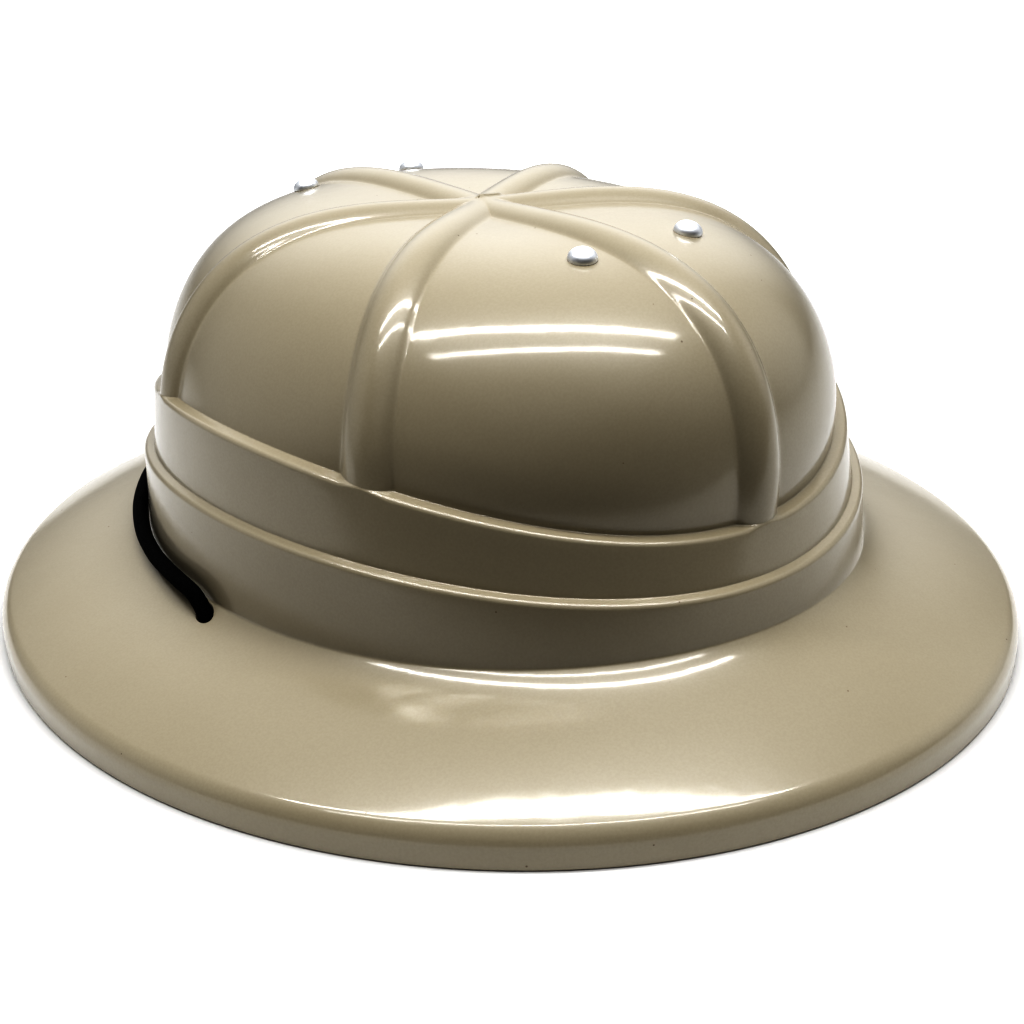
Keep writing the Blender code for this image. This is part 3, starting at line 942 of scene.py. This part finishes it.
@dataclass
class ChinStrap:
    """The round elastic chin strap.

    It is one whole loop, laid round the back of the crown, through a hole at each side of the
    brim, and loose on the ground inside.
    """

    diameter: float = 4.5 * MM
    hole: tuple[float, float, float] = (101.7 * MM, -1.5 * MM, 23.5 * MM)
    hole_lean: float = np.radians(44.0)
    hole_radius: float = 2.7 * MM
    hole_depth: float = 16.0 * MM
    sides: int = 32
    ring_gap: float = 0.65 * MM
    span_steps: int = 24
    end_round: float = 0.5 * MM
    end_taper: float = 0.16
    half_route: tuple[tuple[float, float, float], ...] = (
        (0.3, 120.1, 30.9),
        (12.4, 119.4, 30.8),
        (24.9, 116.5, 30.6),
        (47.3, 106.2, 30.0),
        (66.1, 90.9, 29.2),
        (80.6, 72.5, 28.4),
        (91.0, 52.5, 27.9),
        (96.8, 35.1, 27.7),
        (99.6, 21.8, 28.1),
        (101.1, 11.8, 28.4),
        (101.6, 3.4, 27.4),
        (101.7, -1.9, 23.1),
        (101.7, -6.0, 15.2),
        (101.2, -13.4, 7.3),
        (98.4, -26.9, 2.8),
        (93.0, -42.0, 2.4),
        (82.0, -63.0, 2.4),
        (64.5, -84.0, 2.4),
        (42.0, -98.0, 2.4),
        (14.0, -105.0, 2.4),
    )

    def bores(self) -> list[Bore]:
        """The two holes in the brim, leaning the way the strap comes down.

        Returns:
            The hole at the wearer's right and the one at the left.
        """
        lean = Vector((0.0, float(np.sin(self.hole_lean)), float(np.cos(self.hole_lean))))
        x, y, z = self.hole
        return [Bore(Vector((side * x, y, z)), lean, self.hole_radius, self.hole_depth)
                for side in (-1.0, 1.0)]

    def line(self) -> Array:
        """The middle line of the whole loop, as evenly spaced points.

        Formula: the half route and its mirror image are joined by a cubic curve through all their
        points, whose slope at each is half the step between its two neighbours.  Its points are
        then spaced by their distance along it.

        Returns:
            Points of shape (n, 3).
        """
        half = np.array(self.half_route) * MM
        route = np.concatenate([half, half[::-1] * (-1.0, 1.0, 1.0)])
        ends = [2.0 * route[:1] - route[1:2], route, 2.0 * route[-1:] - route[-2:-1]]
        knots = np.concatenate(ends)
        a, b, c, d = (knots[i:len(knots) - 3 + i, None, :] for i in range(4))
        t = (np.arange(self.span_steps) / self.span_steps)[:, None]
        spans = 0.5 * (2.0 * b + (c - a) * t + (2.0 * a - 5.0 * b + 4.0 * c - d) * t ** 2
                       + (3.0 * b - a - 3.0 * c + d) * t ** 3)
        fine = np.concatenate([spans.reshape(-1, 3), route[-1:]])
        along = distance_along(fine)
        want = np.linspace(0.0, along[-1], int(along[-1] / self.ring_gap) + 1)
        return np.stack([np.interp(want, along, fine[:, i]) for i in range(3)], -1)

    def build(self) -> Piece:
        """The strap: rings across its middle line, closed at its two ends that nearly meet.

        Formula: a ring's first direction points away from the helmet's axis, made square to the
        line, so the rings don't turn about it; its second is square to both.  The UV map runs
        along the strap, in metres, and round it.

        Returns:
            The strap.
        """
        line = self.line()
        run = unit(np.gradient(line, axis=0))
        away = line * (1.0, 1.0, 0.0)
        first = unit(away - (away * run).sum(-1, keepdims=True) * run)
        second = np.cross(run, first)
        gap = distance_along(line)
        to_end = np.clip(1.0 - np.minimum(gap, gap[-1] - gap) / self.end_round, 0.0, 1.0)
        radius = self.diameter / 2.0 * np.sqrt(1.0 - self.end_taper * to_end ** 2)
        turn = np.linspace(0.0, 2.0 * np.pi, self.sides, endpoint=False)[:, None]
        ring = first[:, None] * np.cos(turn) + second[:, None] * np.sin(turn)
        grid = line[:, None] + ring * radius[:, None, None]
        made = turned_piece("elastic_strap", grid, line[0], line[-1])
        lay_uv(made, gap, self.sides)
        return made

    def dress(self, piece: Piece, look: bpy.types.Material) -> None:
        """Give the strap its finish and its place in the frame.

        Args:
            piece: the strap.
            look: its material.
        """
        clothe(piece, look, "chin_strap")


def distance_along(line: Array) -> Array:
    """Distance of each point of a line from its start, along it."""
    return np.concatenate([[0.0], np.cumsum(np.linalg.norm(np.diff(line, axis=0), axis=1))])


def lay_uv(piece: Piece, gap: Array, sides: int) -> None:
    """Give a turned piece a UV map: distance along it, and share of the way round.

    The faces that close the ring have their far corners set to 1, so the map doesn't run back.

    Args:
        piece: a piece made by turned_piece.
        gap: distance along the piece of each row.
        sides: number of columns.
    """
    mesh = piece.data
    rows = len(gap)
    corner = np.empty(len(mesh.loops), np.int32)
    mesh.loops.foreach_get("vertex_index", corner)
    u = np.concatenate([np.repeat(gap, sides), gap[[0, -1]]])[corner]
    v = np.concatenate([np.tile(np.arange(sides) / sides, rows), [0.0, 0.0]])[corner]
    face = v[:4 * (rows - 1) * sides].reshape(-1, 4)
    near_start, near_end = 0.1, 0.9
    closing = (face.max(1) > near_end)[:, None] & (face < near_start)
    face[closing] += 1.0
    layer = mesh.uv_layers.new(name="along")
    layer.data.foreach_set("uv", np.stack([u, v], -1).astype(np.float32).ravel())


# ------------------------------------------------------------------ finishes


class Rise(Enum):
    """How a ramp climbs from its low end to its high end."""

    SOFT = "SMOOTHSTEP"
    EVEN = "LINEAR"


class Bench:
    """Puts nodes into a tree, sets their sockets by name and links them."""

    def __init__(self, tree: bpy.types.NodeTree) -> None:
        """Work on a tree."""
        self.tree = tree

    def add(self, kind: str, settings: dict[str, object] | None = None,
            **sockets: Value) -> bpy.types.Node:
        """Add a node.

        Args:
            kind: the node's type, such as ShaderNodeMath.
            settings: properties of the node.
            sockets: values or output sockets for its inputs; an underscore stands for a space.

        Returns:
            The node.
        """
        node = self.tree.nodes.new(kind)
        for key, value in (settings or {}).items():
            setattr(node, key, value)
        for key, value in sockets.items():
            self.set(node, key.replace("_", " "), value)
        return node

    def set(self, node: bpy.types.Node, name: str | int, value: Value) -> None:
        """Link an output into a node's input, or set the input's own value.

        Args:
            node: the node.
            name: the input's name or number.
            value: an output socket, or a value.
        """
        socket = node.inputs[name]
        if isinstance(value, bpy.types.NodeSocket):
            self.tree.links.new(value, socket)
        else:
            socket.default_value = value

    def fill(self, node: bpy.types.Node, values: dict[str | int, Value]) -> bpy.types.Node:
        """Set several inputs of a node.

        Args:
            node: the node.
            values: each input's name or number, and its value.

        Returns:
            The node.
        """
        for name, value in values.items():
            self.set(node, name, value)
        return node

    def math(self, operation: str, *values: Value) -> Socket:
        """The output of a Math node on numbers or sockets."""
        node = self.add("ShaderNodeMath", {"operation": operation})
        return self.fill(node, dict(enumerate(values))).outputs[0]

    def dot(self, first: Value, second: Value) -> Socket:
        """The output of a dot product of two vectors."""
        node = self.add("ShaderNodeVectorMath", {"operation": "DOT_PRODUCT"})
        return self.fill(node, {0: first, 1: second}).outputs["Value"]

    def ramp(self, value: Socket, low: Value, high: Value, rise: Rise = Rise.SOFT) -> Socket:
        """Map a value from low..high to 0..1."""
        node = self.add("ShaderNodeMapRange", {"interpolation_type": rise.value})
        return self.fill(node, {"Value": value, "From Min": low, "From Max": high}).outputs[0]

    def mix(self, share: Value, first: Value, second: Value) -> Socket:
        """Mix two colours by a share."""
        node = self.add("ShaderNodeMix", {"data_type": "RGBA"})
        return self.fill(node, {0: share, 6: first, 7: second}).outputs[2]

    def noise(self, place: Value, scale: Value, detail: float, **more: Value) -> Socket:
        """The output of a Noise node at a place."""
        kind = "ShaderNodeTexNoise"
        return self.add(kind, Vector=place, Scale=scale, Detail=detail, **more).outputs["Fac"]

    def bump(self, height: Socket, depth: float, **more: Value) -> Socket:
        """The normal of a Bump node, for a height of 0 to 1 and its depth in metres."""
        node = self.add("ShaderNodeBump", Height=height, Strength=1.0, Distance=depth, **more)
        return node.outputs[0]

    def group(self, effect: bpy.types.NodeTree, **sockets: Value) -> bpy.types.Node:
        """Place a shared effect and give it its own values."""
        return self.add("ShaderNodeGroup", {"node_tree": effect}, **sockets)


def opaque(colour: Colour) -> tuple[float, ...]:
    """A colour with its alpha of 1."""
    return (*colour, 1.0)


NUMBER, VECTOR, COLOUR = "NodeSocketFloat", "NodeSocketVector", "NodeSocketColor"


def new_effect(name: str, inputs: dict[str, str],
               outputs: dict[str, str]) -> tuple[Bench, bpy.types.Node, bpy.types.Node]:
    """Start a node group.

    Args:
        name: the group's name.
        inputs: socket names and types.
        outputs: socket names and types.

    Returns:
        The bench on the group's tree, its input node and its output node.
    """
    tree = bpy.data.node_groups.new(name, "ShaderNodeTree")
    for way, sockets in (("INPUT", inputs), ("OUTPUT", outputs)):
        for socket, kind in sockets.items():
            tree.interface.new_socket(socket, in_out=way, socket_type=kind)
    bench = Bench(tree)
    return bench, bench.add("NodeGroupInput"), bench.add("NodeGroupOutput")


def mottle_effect() -> bpy.types.NodeTree:
    """Slow changes of tone: a base colour drifts towards a second one in soft clouds.

    Returns:
        The node group, which puts out the colour and the clouds' mask.
    """
    bench, given, out = new_effect(
        "mottle",
        {"Place": VECTOR, "Scale": NUMBER, "Strength": NUMBER, "Base": COLOUR, "Other": COLOUR},
        {"Colour": COLOUR, "Mask": NUMBER},
    )
    cloud = bench.noise(given.outputs["Place"], given.outputs["Scale"], detail=4.0,
                        Roughness=0.55)
    clear, full = 0.3, 0.7
    mask = bench.ramp(cloud, clear, full)
    share = bench.math("MULTIPLY", mask, given.outputs["Strength"])
    bench.set(out, "Colour", bench.mix(share, given.outputs["Base"], given.outputs["Other"]))
    bench.set(out, "Mask", mask)
    return bench.tree


def specks_effect() -> bpy.types.NodeTree:
    """Dust and small pits: round spots, few and of many sizes, with soft rims.

    Returns:
        The node group, which puts out the spots' mask.
    """
    bench, given, out = new_effect(
        "specks", {"Place": VECTOR, "Scale": NUMBER, "Share": NUMBER}, {"Mask": NUMBER})
    cells = bench.add("ShaderNodeTexVoronoi", Vector=given.outputs["Place"],
                      Scale=given.outputs["Scale"])
    split = bench.add("ShaderNodeSeparateColor", Color=cells.outputs["Color"])
    kept = bench.math("LESS_THAN", split.outputs["Red"], given.outputs["Share"])
    smallest, spread, core = 0.015, 0.035, 0.6
    size = bench.math("MULTIPLY_ADD", split.outputs["Green"], spread, smallest)
    full = bench.math("MULTIPLY", size, core)
    spot = bench.ramp(cells.outputs["Distance"], size, full, Rise.EVEN)
    bench.set(out, "Mask", bench.math("MULTIPLY", kept, spot))
    return bench.tree


def scratches_effect() -> bpy.types.NodeTree:
    """Fine scratches: thin lines of a stretched noise, broken up by a second one.

    Returns:
        The node group, which puts out the scratches' mask.
    """
    bench, given, out = new_effect(
        "scratches", {"Place": VECTOR, "Scale": NUMBER, "Width": NUMBER}, {"Mask": NUMBER})
    place, scale = given.outputs["Place"], given.outputs["Scale"]
    turns, stretch, bend = ((0.3, 0.7, 0.2), (1.4, 0.2, 1.1)), (1.0, 9.0, 1.0), 0.3
    middle, bare, full = 0.5, 0.5, 0.62
    lines = []
    for turn in turns:
        laid = bench.add("ShaderNodeMapping", Vector=place, Rotation=turn, Scale=stretch)
        noise = bench.noise(laid.outputs[0], scale, detail=1.0, Distortion=bend)
        off = bench.math("ABSOLUTE", bench.math("SUBTRACT", noise, middle))
        lines.append(bench.math("LESS_THAN", off, given.outputs["Width"]))
    broken = bench.ramp(bench.noise(place, scale, detail=2.0), bare, full)
    bench.set(out, "Mask", bench.math("MULTIPLY", bench.math("MAXIMUM", *lines), broken))
    return bench.tree


@dataclass(frozen=True)
class Effects:
    """The shared effects, each built once."""

    mottle: bpy.types.NodeTree
    specks: bpy.types.NodeTree
    scratches: bpy.types.NodeTree


def new_material(name: str) -> tuple[bpy.types.Material, Bench, bpy.types.Node]:
    """Start a material with a Principled BSDF.

    Args:
        name: the material's name.

    Returns:
        The material, a bench on its tree, and the shader.
    """
    made = bpy.data.materials.new(name)
    made.use_nodes = True
    return made, Bench(made.node_tree), made.node_tree.nodes["Principled BSDF"]


@dataclass(frozen=True)
class MouldedPlastic:
    """Glossy khaki plastic, straight from the mould, under a clear and glossier top layer.

    Its colour has soft clouds, fine flecks and a few specks; its surface has slow waves, flow
    streaks that run up and down, and a fine grain.
    """

    base: Colour = (0.400, 0.357, 0.268)
    other: Colour = (0.382, 0.338, 0.248)
    cloud_scale: float = 28.0
    cloud_strength: float = 0.6
    fleck: Colour = (0.300, 0.260, 0.185)
    fleck_scale: float = 1500.0
    fleck_strength: float = 0.22
    speck: Colour = (0.16, 0.12, 0.07)
    speck_scale: float = 130.0
    speck_share: float = 0.6
    roughness: float = 0.36
    roughness_drift: float = 0.03
    wave_scale: float = 45.0
    wave_depth: float = 0.05 * MM
    streak_scale: float = 220.0
    streak_depth: float = 0.035 * MM
    streak_stretch: tuple[float, float, float] = (1.0, 1.0, 0.3)
    grain_scale: float = 900.0
    grain_depth: float = 0.002 * MM
    refraction: float = 1.50
    shine: float = 0.6
    top_roughness: float = 0.11
    top_refraction: float = 1.45

    def surface(self, bench: Bench, place: Socket) -> Socket:
        """The normal: waves, streaks and grain, one bump upon another.

        Args:
            bench: the bench on the material's tree.
            place: the places' coordinates.

        Returns:
            The normal.
        """
        flow = bench.add("ShaderNodeMapping", Vector=place, Scale=self.streak_stretch).outputs[0]
        waves = bench.bump(bench.noise(place, self.wave_scale, detail=1.0), self.wave_depth)
        streaks = bench.bump(bench.noise(flow, self.streak_scale, detail=1.0),
                             self.streak_depth, Normal=waves)
        grain = bench.noise(place, self.grain_scale, detail=2.0)
        return bench.bump(grain, self.grain_depth, Normal=streaks)

    def build(self, effects: Effects) -> bpy.types.Material:
        """Make the material.

        Args:
            effects: the shared effects.

        Returns:
            The material.
        """
        made, bench, shader = new_material("khaki_plastic")
        place = bench.add("ShaderNodeTexCoord").outputs["Object"]
        tone = bench.group(effects.mottle, Place=place, Scale=self.cloud_scale,
                           Strength=self.cloud_strength, Base=opaque(self.base),
                           Other=opaque(self.other))
        fine = bench.group(effects.mottle, Place=place, Scale=self.fleck_scale,
                           Strength=self.fleck_strength, Base=tone.outputs["Colour"],
                           Other=opaque(self.fleck))
        dust = bench.group(effects.specks, Place=place, Scale=self.speck_scale,
                           Share=self.speck_share)
        normal = self.surface(bench, place)
        bench.fill(shader, {
            "Base Color": bench.mix(dust.outputs["Mask"], fine.outputs["Colour"],
                                    opaque(self.speck)),
            "Roughness": bench.math("MULTIPLY_ADD", tone.outputs["Mask"], self.roughness_drift,
                                    self.roughness),
            "Normal": normal,
            "IOR": self.refraction,
            "Specular IOR Level": self.shine,
            "Coat Weight": 1.0,
            "Coat Roughness": self.top_roughness,
            "Coat IOR": self.top_refraction,
            "Coat Normal": normal,
        })
        return made


@dataclass(frozen=True)
class SatinNickel:
    """Bright plated metal with a satin face and hair-fine scratches."""

    base: Colour = (0.93, 0.95, 0.98)
    other: Colour = (0.84, 0.86, 0.90)
    cloud_scale: float = 700.0
    cloud_strength: float = 0.5
    cloud_depth: float = 0.01 * MM
    roughness: float = 0.48
    scratch_roughness: float = 0.2
    scratch_scale: float = 500.0
    scratch_width: float = 0.012

    def build(self, effects: Effects) -> bpy.types.Material:
        """Make the material.

        Args:
            effects: the shared effects.

        Returns:
            The material.
        """
        made, bench, shader = new_material("bright_nickel")
        place = bench.add("ShaderNodeTexCoord").outputs["Object"]
        tone = bench.group(effects.mottle, Place=place, Scale=self.cloud_scale,
                           Strength=self.cloud_strength, Base=opaque(self.base),
                           Other=opaque(self.other))
        marks = bench.group(effects.scratches, Place=place, Scale=self.scratch_scale,
                            Width=self.scratch_width)
        bench.fill(shader, {
            "Base Color": tone.outputs["Colour"],
            "Metallic": 1.0,
            "Roughness": bench.math("MULTIPLY_ADD", marks.outputs["Mask"],
                                    self.scratch_roughness, self.roughness),
            "Normal": bench.bump(tone.outputs["Mask"], self.cloud_depth),
        })
        return made


@dataclass(frozen=True)
class BraidedElastic:
    """Black braided elastic: yarns that cross on two slants round the strap."""

    base: Colour = (0.003, 0.003, 0.003)
    other: Colour = (0.008, 0.008, 0.008)
    cloud_scale: float = 900.0
    yarns: float = 12.0
    pitch: float = 9.0 * MM
    depth: float = 0.12 * MM
    roughness: float = 0.8
    shine: float = 0.15

    def build(self, effects: Effects) -> bpy.types.Material:
        """Make the material: two sets of slanting ridges, the higher one on top at each place.

        Formula: each set is |sin(pi n (v + s u / p))| for n yarns, the pitch p, the slant s of
        1 or -1, the distance u along the strap and the share v of the way round.

        Args:
            effects: the shared effects.

        Returns:
            The material.
        """
        made, bench, shader = new_material("black_elastic")
        coords = bench.add("ShaderNodeTexCoord")
        along = bench.add("ShaderNodeSeparateXYZ", Vector=coords.outputs["UV"])
        climb = bench.math("MULTIPLY", along.outputs["X"], 1.0 / self.pitch)
        ridges = []
        for slant in (-1.0, 1.0):
            turn = bench.math("MULTIPLY_ADD", climb, slant, along.outputs["Y"])
            wave = bench.math("MULTIPLY", turn, self.yarns * np.pi)
            ridges.append(bench.math("ABSOLUTE", bench.math("SINE", wave)))
        tone = bench.group(effects.mottle, Place=coords.outputs["Object"],
                           Scale=self.cloud_scale, Strength=1.0, Base=opaque(self.base),
                           Other=opaque(self.other))
        bench.fill(shader, {
            "Base Color": tone.outputs["Colour"],
            "Normal": bench.bump(bench.math("MAXIMUM", *ridges), self.depth),
            "Roughness": self.roughness,
            "Specular IOR Level": self.shine,
        })
        return made


# ------------------------------------------------------------------ studio


@dataclass(frozen=True)
class Camera:
    """The photograph's camera, worked out from the helmet's outline."""

    azimuth: float = np.radians(-38.0)
    elevation: float = np.radians(25.77)
    distance: float = 527.1 * MM
    roll: float = np.radians(-2.12)
    lens: float = 59.63
    sensor: float = 36.0
    shift: tuple[float, float] = (0.0153, 0.0652)
    clip: tuple[float, float] = (0.01, 60.0)

    def level(self) -> tuple[Array, Array]:
        """The level directions to the picture's right and towards the camera."""
        a = self.azimuth
        return np.array([np.cos(a), np.sin(a), 0.0]), np.array([np.sin(a), -np.cos(a), 0.0])

    def place(self, right: float, near: float, height: float) -> Array:
        """The point so far to the picture's right, towards the camera and above the floor."""
        across, towards = self.level()
        return right * across + near * towards + np.array([0.0, 0.0, height])

    def facing(self, turn: float, elevation: float) -> Array:
        """A direction: turned from the camera's side to the picture's right, and raised."""
        flat = np.cos(elevation)
        return self.place(np.sin(turn) * flat, np.cos(turn) * flat, np.sin(elevation))

    def build(self) -> Piece:
        """Make the camera, as the scene's own.

        Formula: it looks back along its own direction at the helmet's middle, and its level and
        upright directions are turned about that by the roll.

        Returns:
            The camera.
        """
        level, _ = self.level()
        back = self.facing(0.0, self.elevation)
        upright = np.cross(back, level)
        right = np.cos(self.roll) * level + np.sin(self.roll) * upright
        up = np.cos(self.roll) * upright - np.sin(self.roll) * level
        data = bpy.data.cameras.new("camera")
        data.lens = self.lens
        data.sensor_width = self.sensor
        data.shift_x, data.shift_y = self.shift
        data.clip_start, data.clip_end = self.clip
        made = bpy.data.objects.new("camera", data)
        turn = Matrix(np.stack([right, up, back], 1).tolist()).to_4x4()
        made.matrix_world = Matrix.Translation(Vector(back * self.distance)) @ turn
        bpy.context.scene.collection.objects.link(made)
        bpy.context.scene.camera = made
        return made


@dataclass(frozen=True)
class Panel:
    """A flat light overhead that faces down, its sides along the picture's own.

    Its middle is given as the distance to the picture's right, towards the camera and above the
    floor, and its radiance is that of the light's face.
    """

    name: str
    right: float
    near: float
    height: float
    width: float
    depth: float
    radiance: float

    def build(self, camera: Camera) -> Piece:
        """Make the light.

        Formula: its power is the radiance times the area times pi.

        Args:
            camera: the camera, for its directions.

        Returns:
            The light.
        """
        data = bpy.data.lights.new(self.name, "AREA")
        data.shape = "RECTANGLE"
        data.size, data.size_y = self.width, self.depth
        data.energy = self.radiance * self.width * self.depth * np.pi
        made = bpy.data.objects.new(self.name, data)
        across, towards = camera.level()
        turn = Matrix(np.stack([across, -towards, [0.0, 0.0, 1.0]], 1).tolist()).to_4x4()
        place = Vector(camera.place(self.right, self.near, self.height))
        made.matrix_world = Matrix.Translation(place) @ turn
        made.visible_camera = False
        bpy.context.scene.collection.objects.link(made)
        return made


@dataclass(frozen=True)
class Floor:
    """A white floor, a hair under the ground that the helmet rests on.

    Seen by the camera it is lifted to white, with only a soft shadow left.  What it gives back to
    the helmet is bright, apart from the part in front, which is painted dark: painted shade for
    the helmet's front.
    """

    size: float = 8.0
    drop: float = 0.2 * MM
    grain_scale: float = 30.0
    grey: Colour = (0.74, 0.74, 0.74)
    pale: Colour = (0.78, 0.78, 0.78)
    # painted shade: the floor's colour for light bouncing onto the helmet from the part in front
    painted_shade_bounce: Colour = (0.03, 0.03, 0.03)
    bright_bounce: Colour = (0.80, 0.80, 0.80)
    dark_from: float = 0.24
    bright_until: float = 0.17
    lift_from: float = 0.15
    lift_full: float = 0.7

    def build(self, camera: Camera) -> Piece:
        """Make the floor.

        Args:
            camera: the camera, for its directions.

        Returns:
            The floor, which is part of the stage and not of the helmet.
        """
        half, low = self.size / 2.0, -self.drop
        corners = np.array([[-half, -half, low], [half, -half, low], [half, half, low],
                            [-half, half, low]])
        floor = mesh_piece("floor", corners, np.array([[0, 1, 2, 3]]), np.zeros((0, 3), int))
        made, bench, shader = new_material("white_floor")
        seen = bench.add("ShaderNodeLightPath").outputs["Is Camera Ray"]
        place = bench.add("ShaderNodeTexCoord").outputs["Object"]
        grain = bench.noise(place, self.grain_scale, detail=3.0)
        tone = bench.mix(grain, opaque(self.grey), opaque(self.pale))
        # painted shade: to light bouncing onto the helmet, the floor is dark from 0.17 to 0.24 m
        # in front of its middle, towards the camera, and white elsewhere
        forward = bench.dot(place, tuple(camera.level()[1]))
        bright = bench.ramp(forward, self.dark_from, self.bright_until)
        bounce = bench.mix(bright, opaque(self.painted_shade_bounce), opaque(self.bright_bounce))
        away = bench.fill(bench.add("ShaderNodeVectorMath", {"operation": "LENGTH"}), {0: place})
        far = bench.ramp(away.outputs["Value"], self.lift_from, self.lift_full)
        bench.fill(shader, {
            "Base Color": bench.mix(seen, bounce, tone),
            "Emission Color": opaque(WHITE),
            "Emission Strength": bench.math("MULTIPLY", seen, far),
            "Roughness": 1.0,
            "Specular IOR Level": 0.0,
        })
        floor.data.materials.append(made)
        return floor


@dataclass(frozen=True)
class Glow:
    """A soft round patch of light on the room's walls.

    Turn and elevation are degrees from the camera's side and above the floor.  The patch is at
    its full radiance within the inner angle, and gone outside the outer one.
    """

    name: str
    turn: float
    elevation: float
    inner: float
    outer: float
    radiance: float


@dataclass(frozen=True)
class Walls:
    """The room's walls: nearly dark, with the glows on them, and white to the camera."""

    dark: float = 0.005
    glows: tuple[Glow, ...] = (
        Glow("back_high", 180.0, 42.0, 5.0, 50.0, 0.69),
        Glow("back_low", 180.0, 8.0, 5.0, 50.0, 0.23),
        Glow("back_right", 145.0, 8.0, 5.0, 50.0, 0.04),
        Glow("left", -100.0, 20.0, 5.0, 45.0, 0.38),
        Glow("right", 80.0, 50.0, 5.0, 50.0, 0.28),
        Glow("right_wall", 112.0, 18.0, 3.0, 30.0, 0.48),
        Glow("front", 0.0, 55.0, 5.0, 42.0, 0.23),
    )

    def build(self, camera: Camera) -> None:
        """Make the scene's world.

        Formula: the dark walls' radiance plus each glow's own times a smooth step between the
        cosines of its outer and its inner angle.

        Args:
            camera: the camera, for its directions.
        """
        world = bpy.data.worlds.new("room")
        bpy.context.scene.world = world
        world.use_nodes = True
        bench = Bench(world.node_tree)
        way = bench.add("ShaderNodeTexCoord").outputs["Generated"]
        total = self.dark
        for glow in self.glows:
            aim = camera.facing(np.radians(glow.turn), np.radians(glow.elevation))
            outer, inner = np.cos(np.radians([glow.outer, glow.inner]))
            patch = bench.ramp(bench.dot(way, tuple(aim)), outer, inner)
            total = bench.math("MULTIPLY_ADD", patch, glow.radiance, total)
            total.node.label = glow.name
        seen = bench.add("ShaderNodeLightPath").outputs["Is Camera Ray"]
        bench.fill(world.node_tree.nodes["Background"], {
            "Color": opaque(WHITE),
            "Strength": bench.math("MAXIMUM", seen, total),
        })


@dataclass(frozen=True)
class Studio:
    """A white floor, two strip lights in the ceiling, soft walls, and the camera."""

    camera: Camera = Camera()
    floor: Floor = Floor()
    walls: Walls = Walls()
    panels: tuple[Panel, ...] = (
        Panel("strip_over", 0.0, 0.047, 1.0, 1.24, 0.066, 19.5),
        Panel("strip_near", 0.0, 0.31, 1.0, 1.20, 0.05, 17.0),
    )
    contrast: str = "Very High Contrast"
    gamma: float = 0.8

    def build(self) -> None:
        """Make the floor, the lights, the walls' glow and the camera."""
        made = [self.floor.build(self.camera)]
        made += [panel.build(self.camera) for panel in self.panels]
        self.walls.build(self.camera)
        made.append(self.camera.build())
        log.info("the studio has %s", ", ".join(one.name for one in made))
        view = bpy.context.scene.view_settings
        view.view_transform = "Standard"
        view.look = self.contrast
        view.gamma = self.gamma


# ------------------------------------------------------------------ the whole helmet


RIVETS = (
    Rivet("rivet_front_left", (23.7 * MM, -57.5 * MM)),
    Rivet("rivet_front_right", (-14.8 * MM, -59.0 * MM)),
    Rivet("rivet_back_left", (23.5 * MM, 66.0 * MM)),
    Rivet("rivet_back_right", (-16.0 * MM, 66.0 * MM)),
)


def main() -> None:
    """Build the helmet's pieces in order."""
    logging.basicConfig(level=logging.INFO)
    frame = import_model()
    log.info("the frame has %d nodes", len(frame["nodes"]))
    Studio().build()
    effects = Effects(mottle_effect(), specks_effect(), scratches_effect())

    strap = ChinStrap()
    strap.dress(strap.build(), BraidedElastic().build(effects))

    shell = HelmetShell()
    moulding = shell.build()
    drill(moulding, [rivet.bore(shell) for rivet in RIVETS] + strap.bores())
    shell.dress(moulding, MouldedPlastic().build(effects))

    nickel = SatinNickel().build(effects)
    for rivet in RIVETS:
        rivet.dress(rivet.build(shell), nickel)


if __name__ == "__main__":
    main()
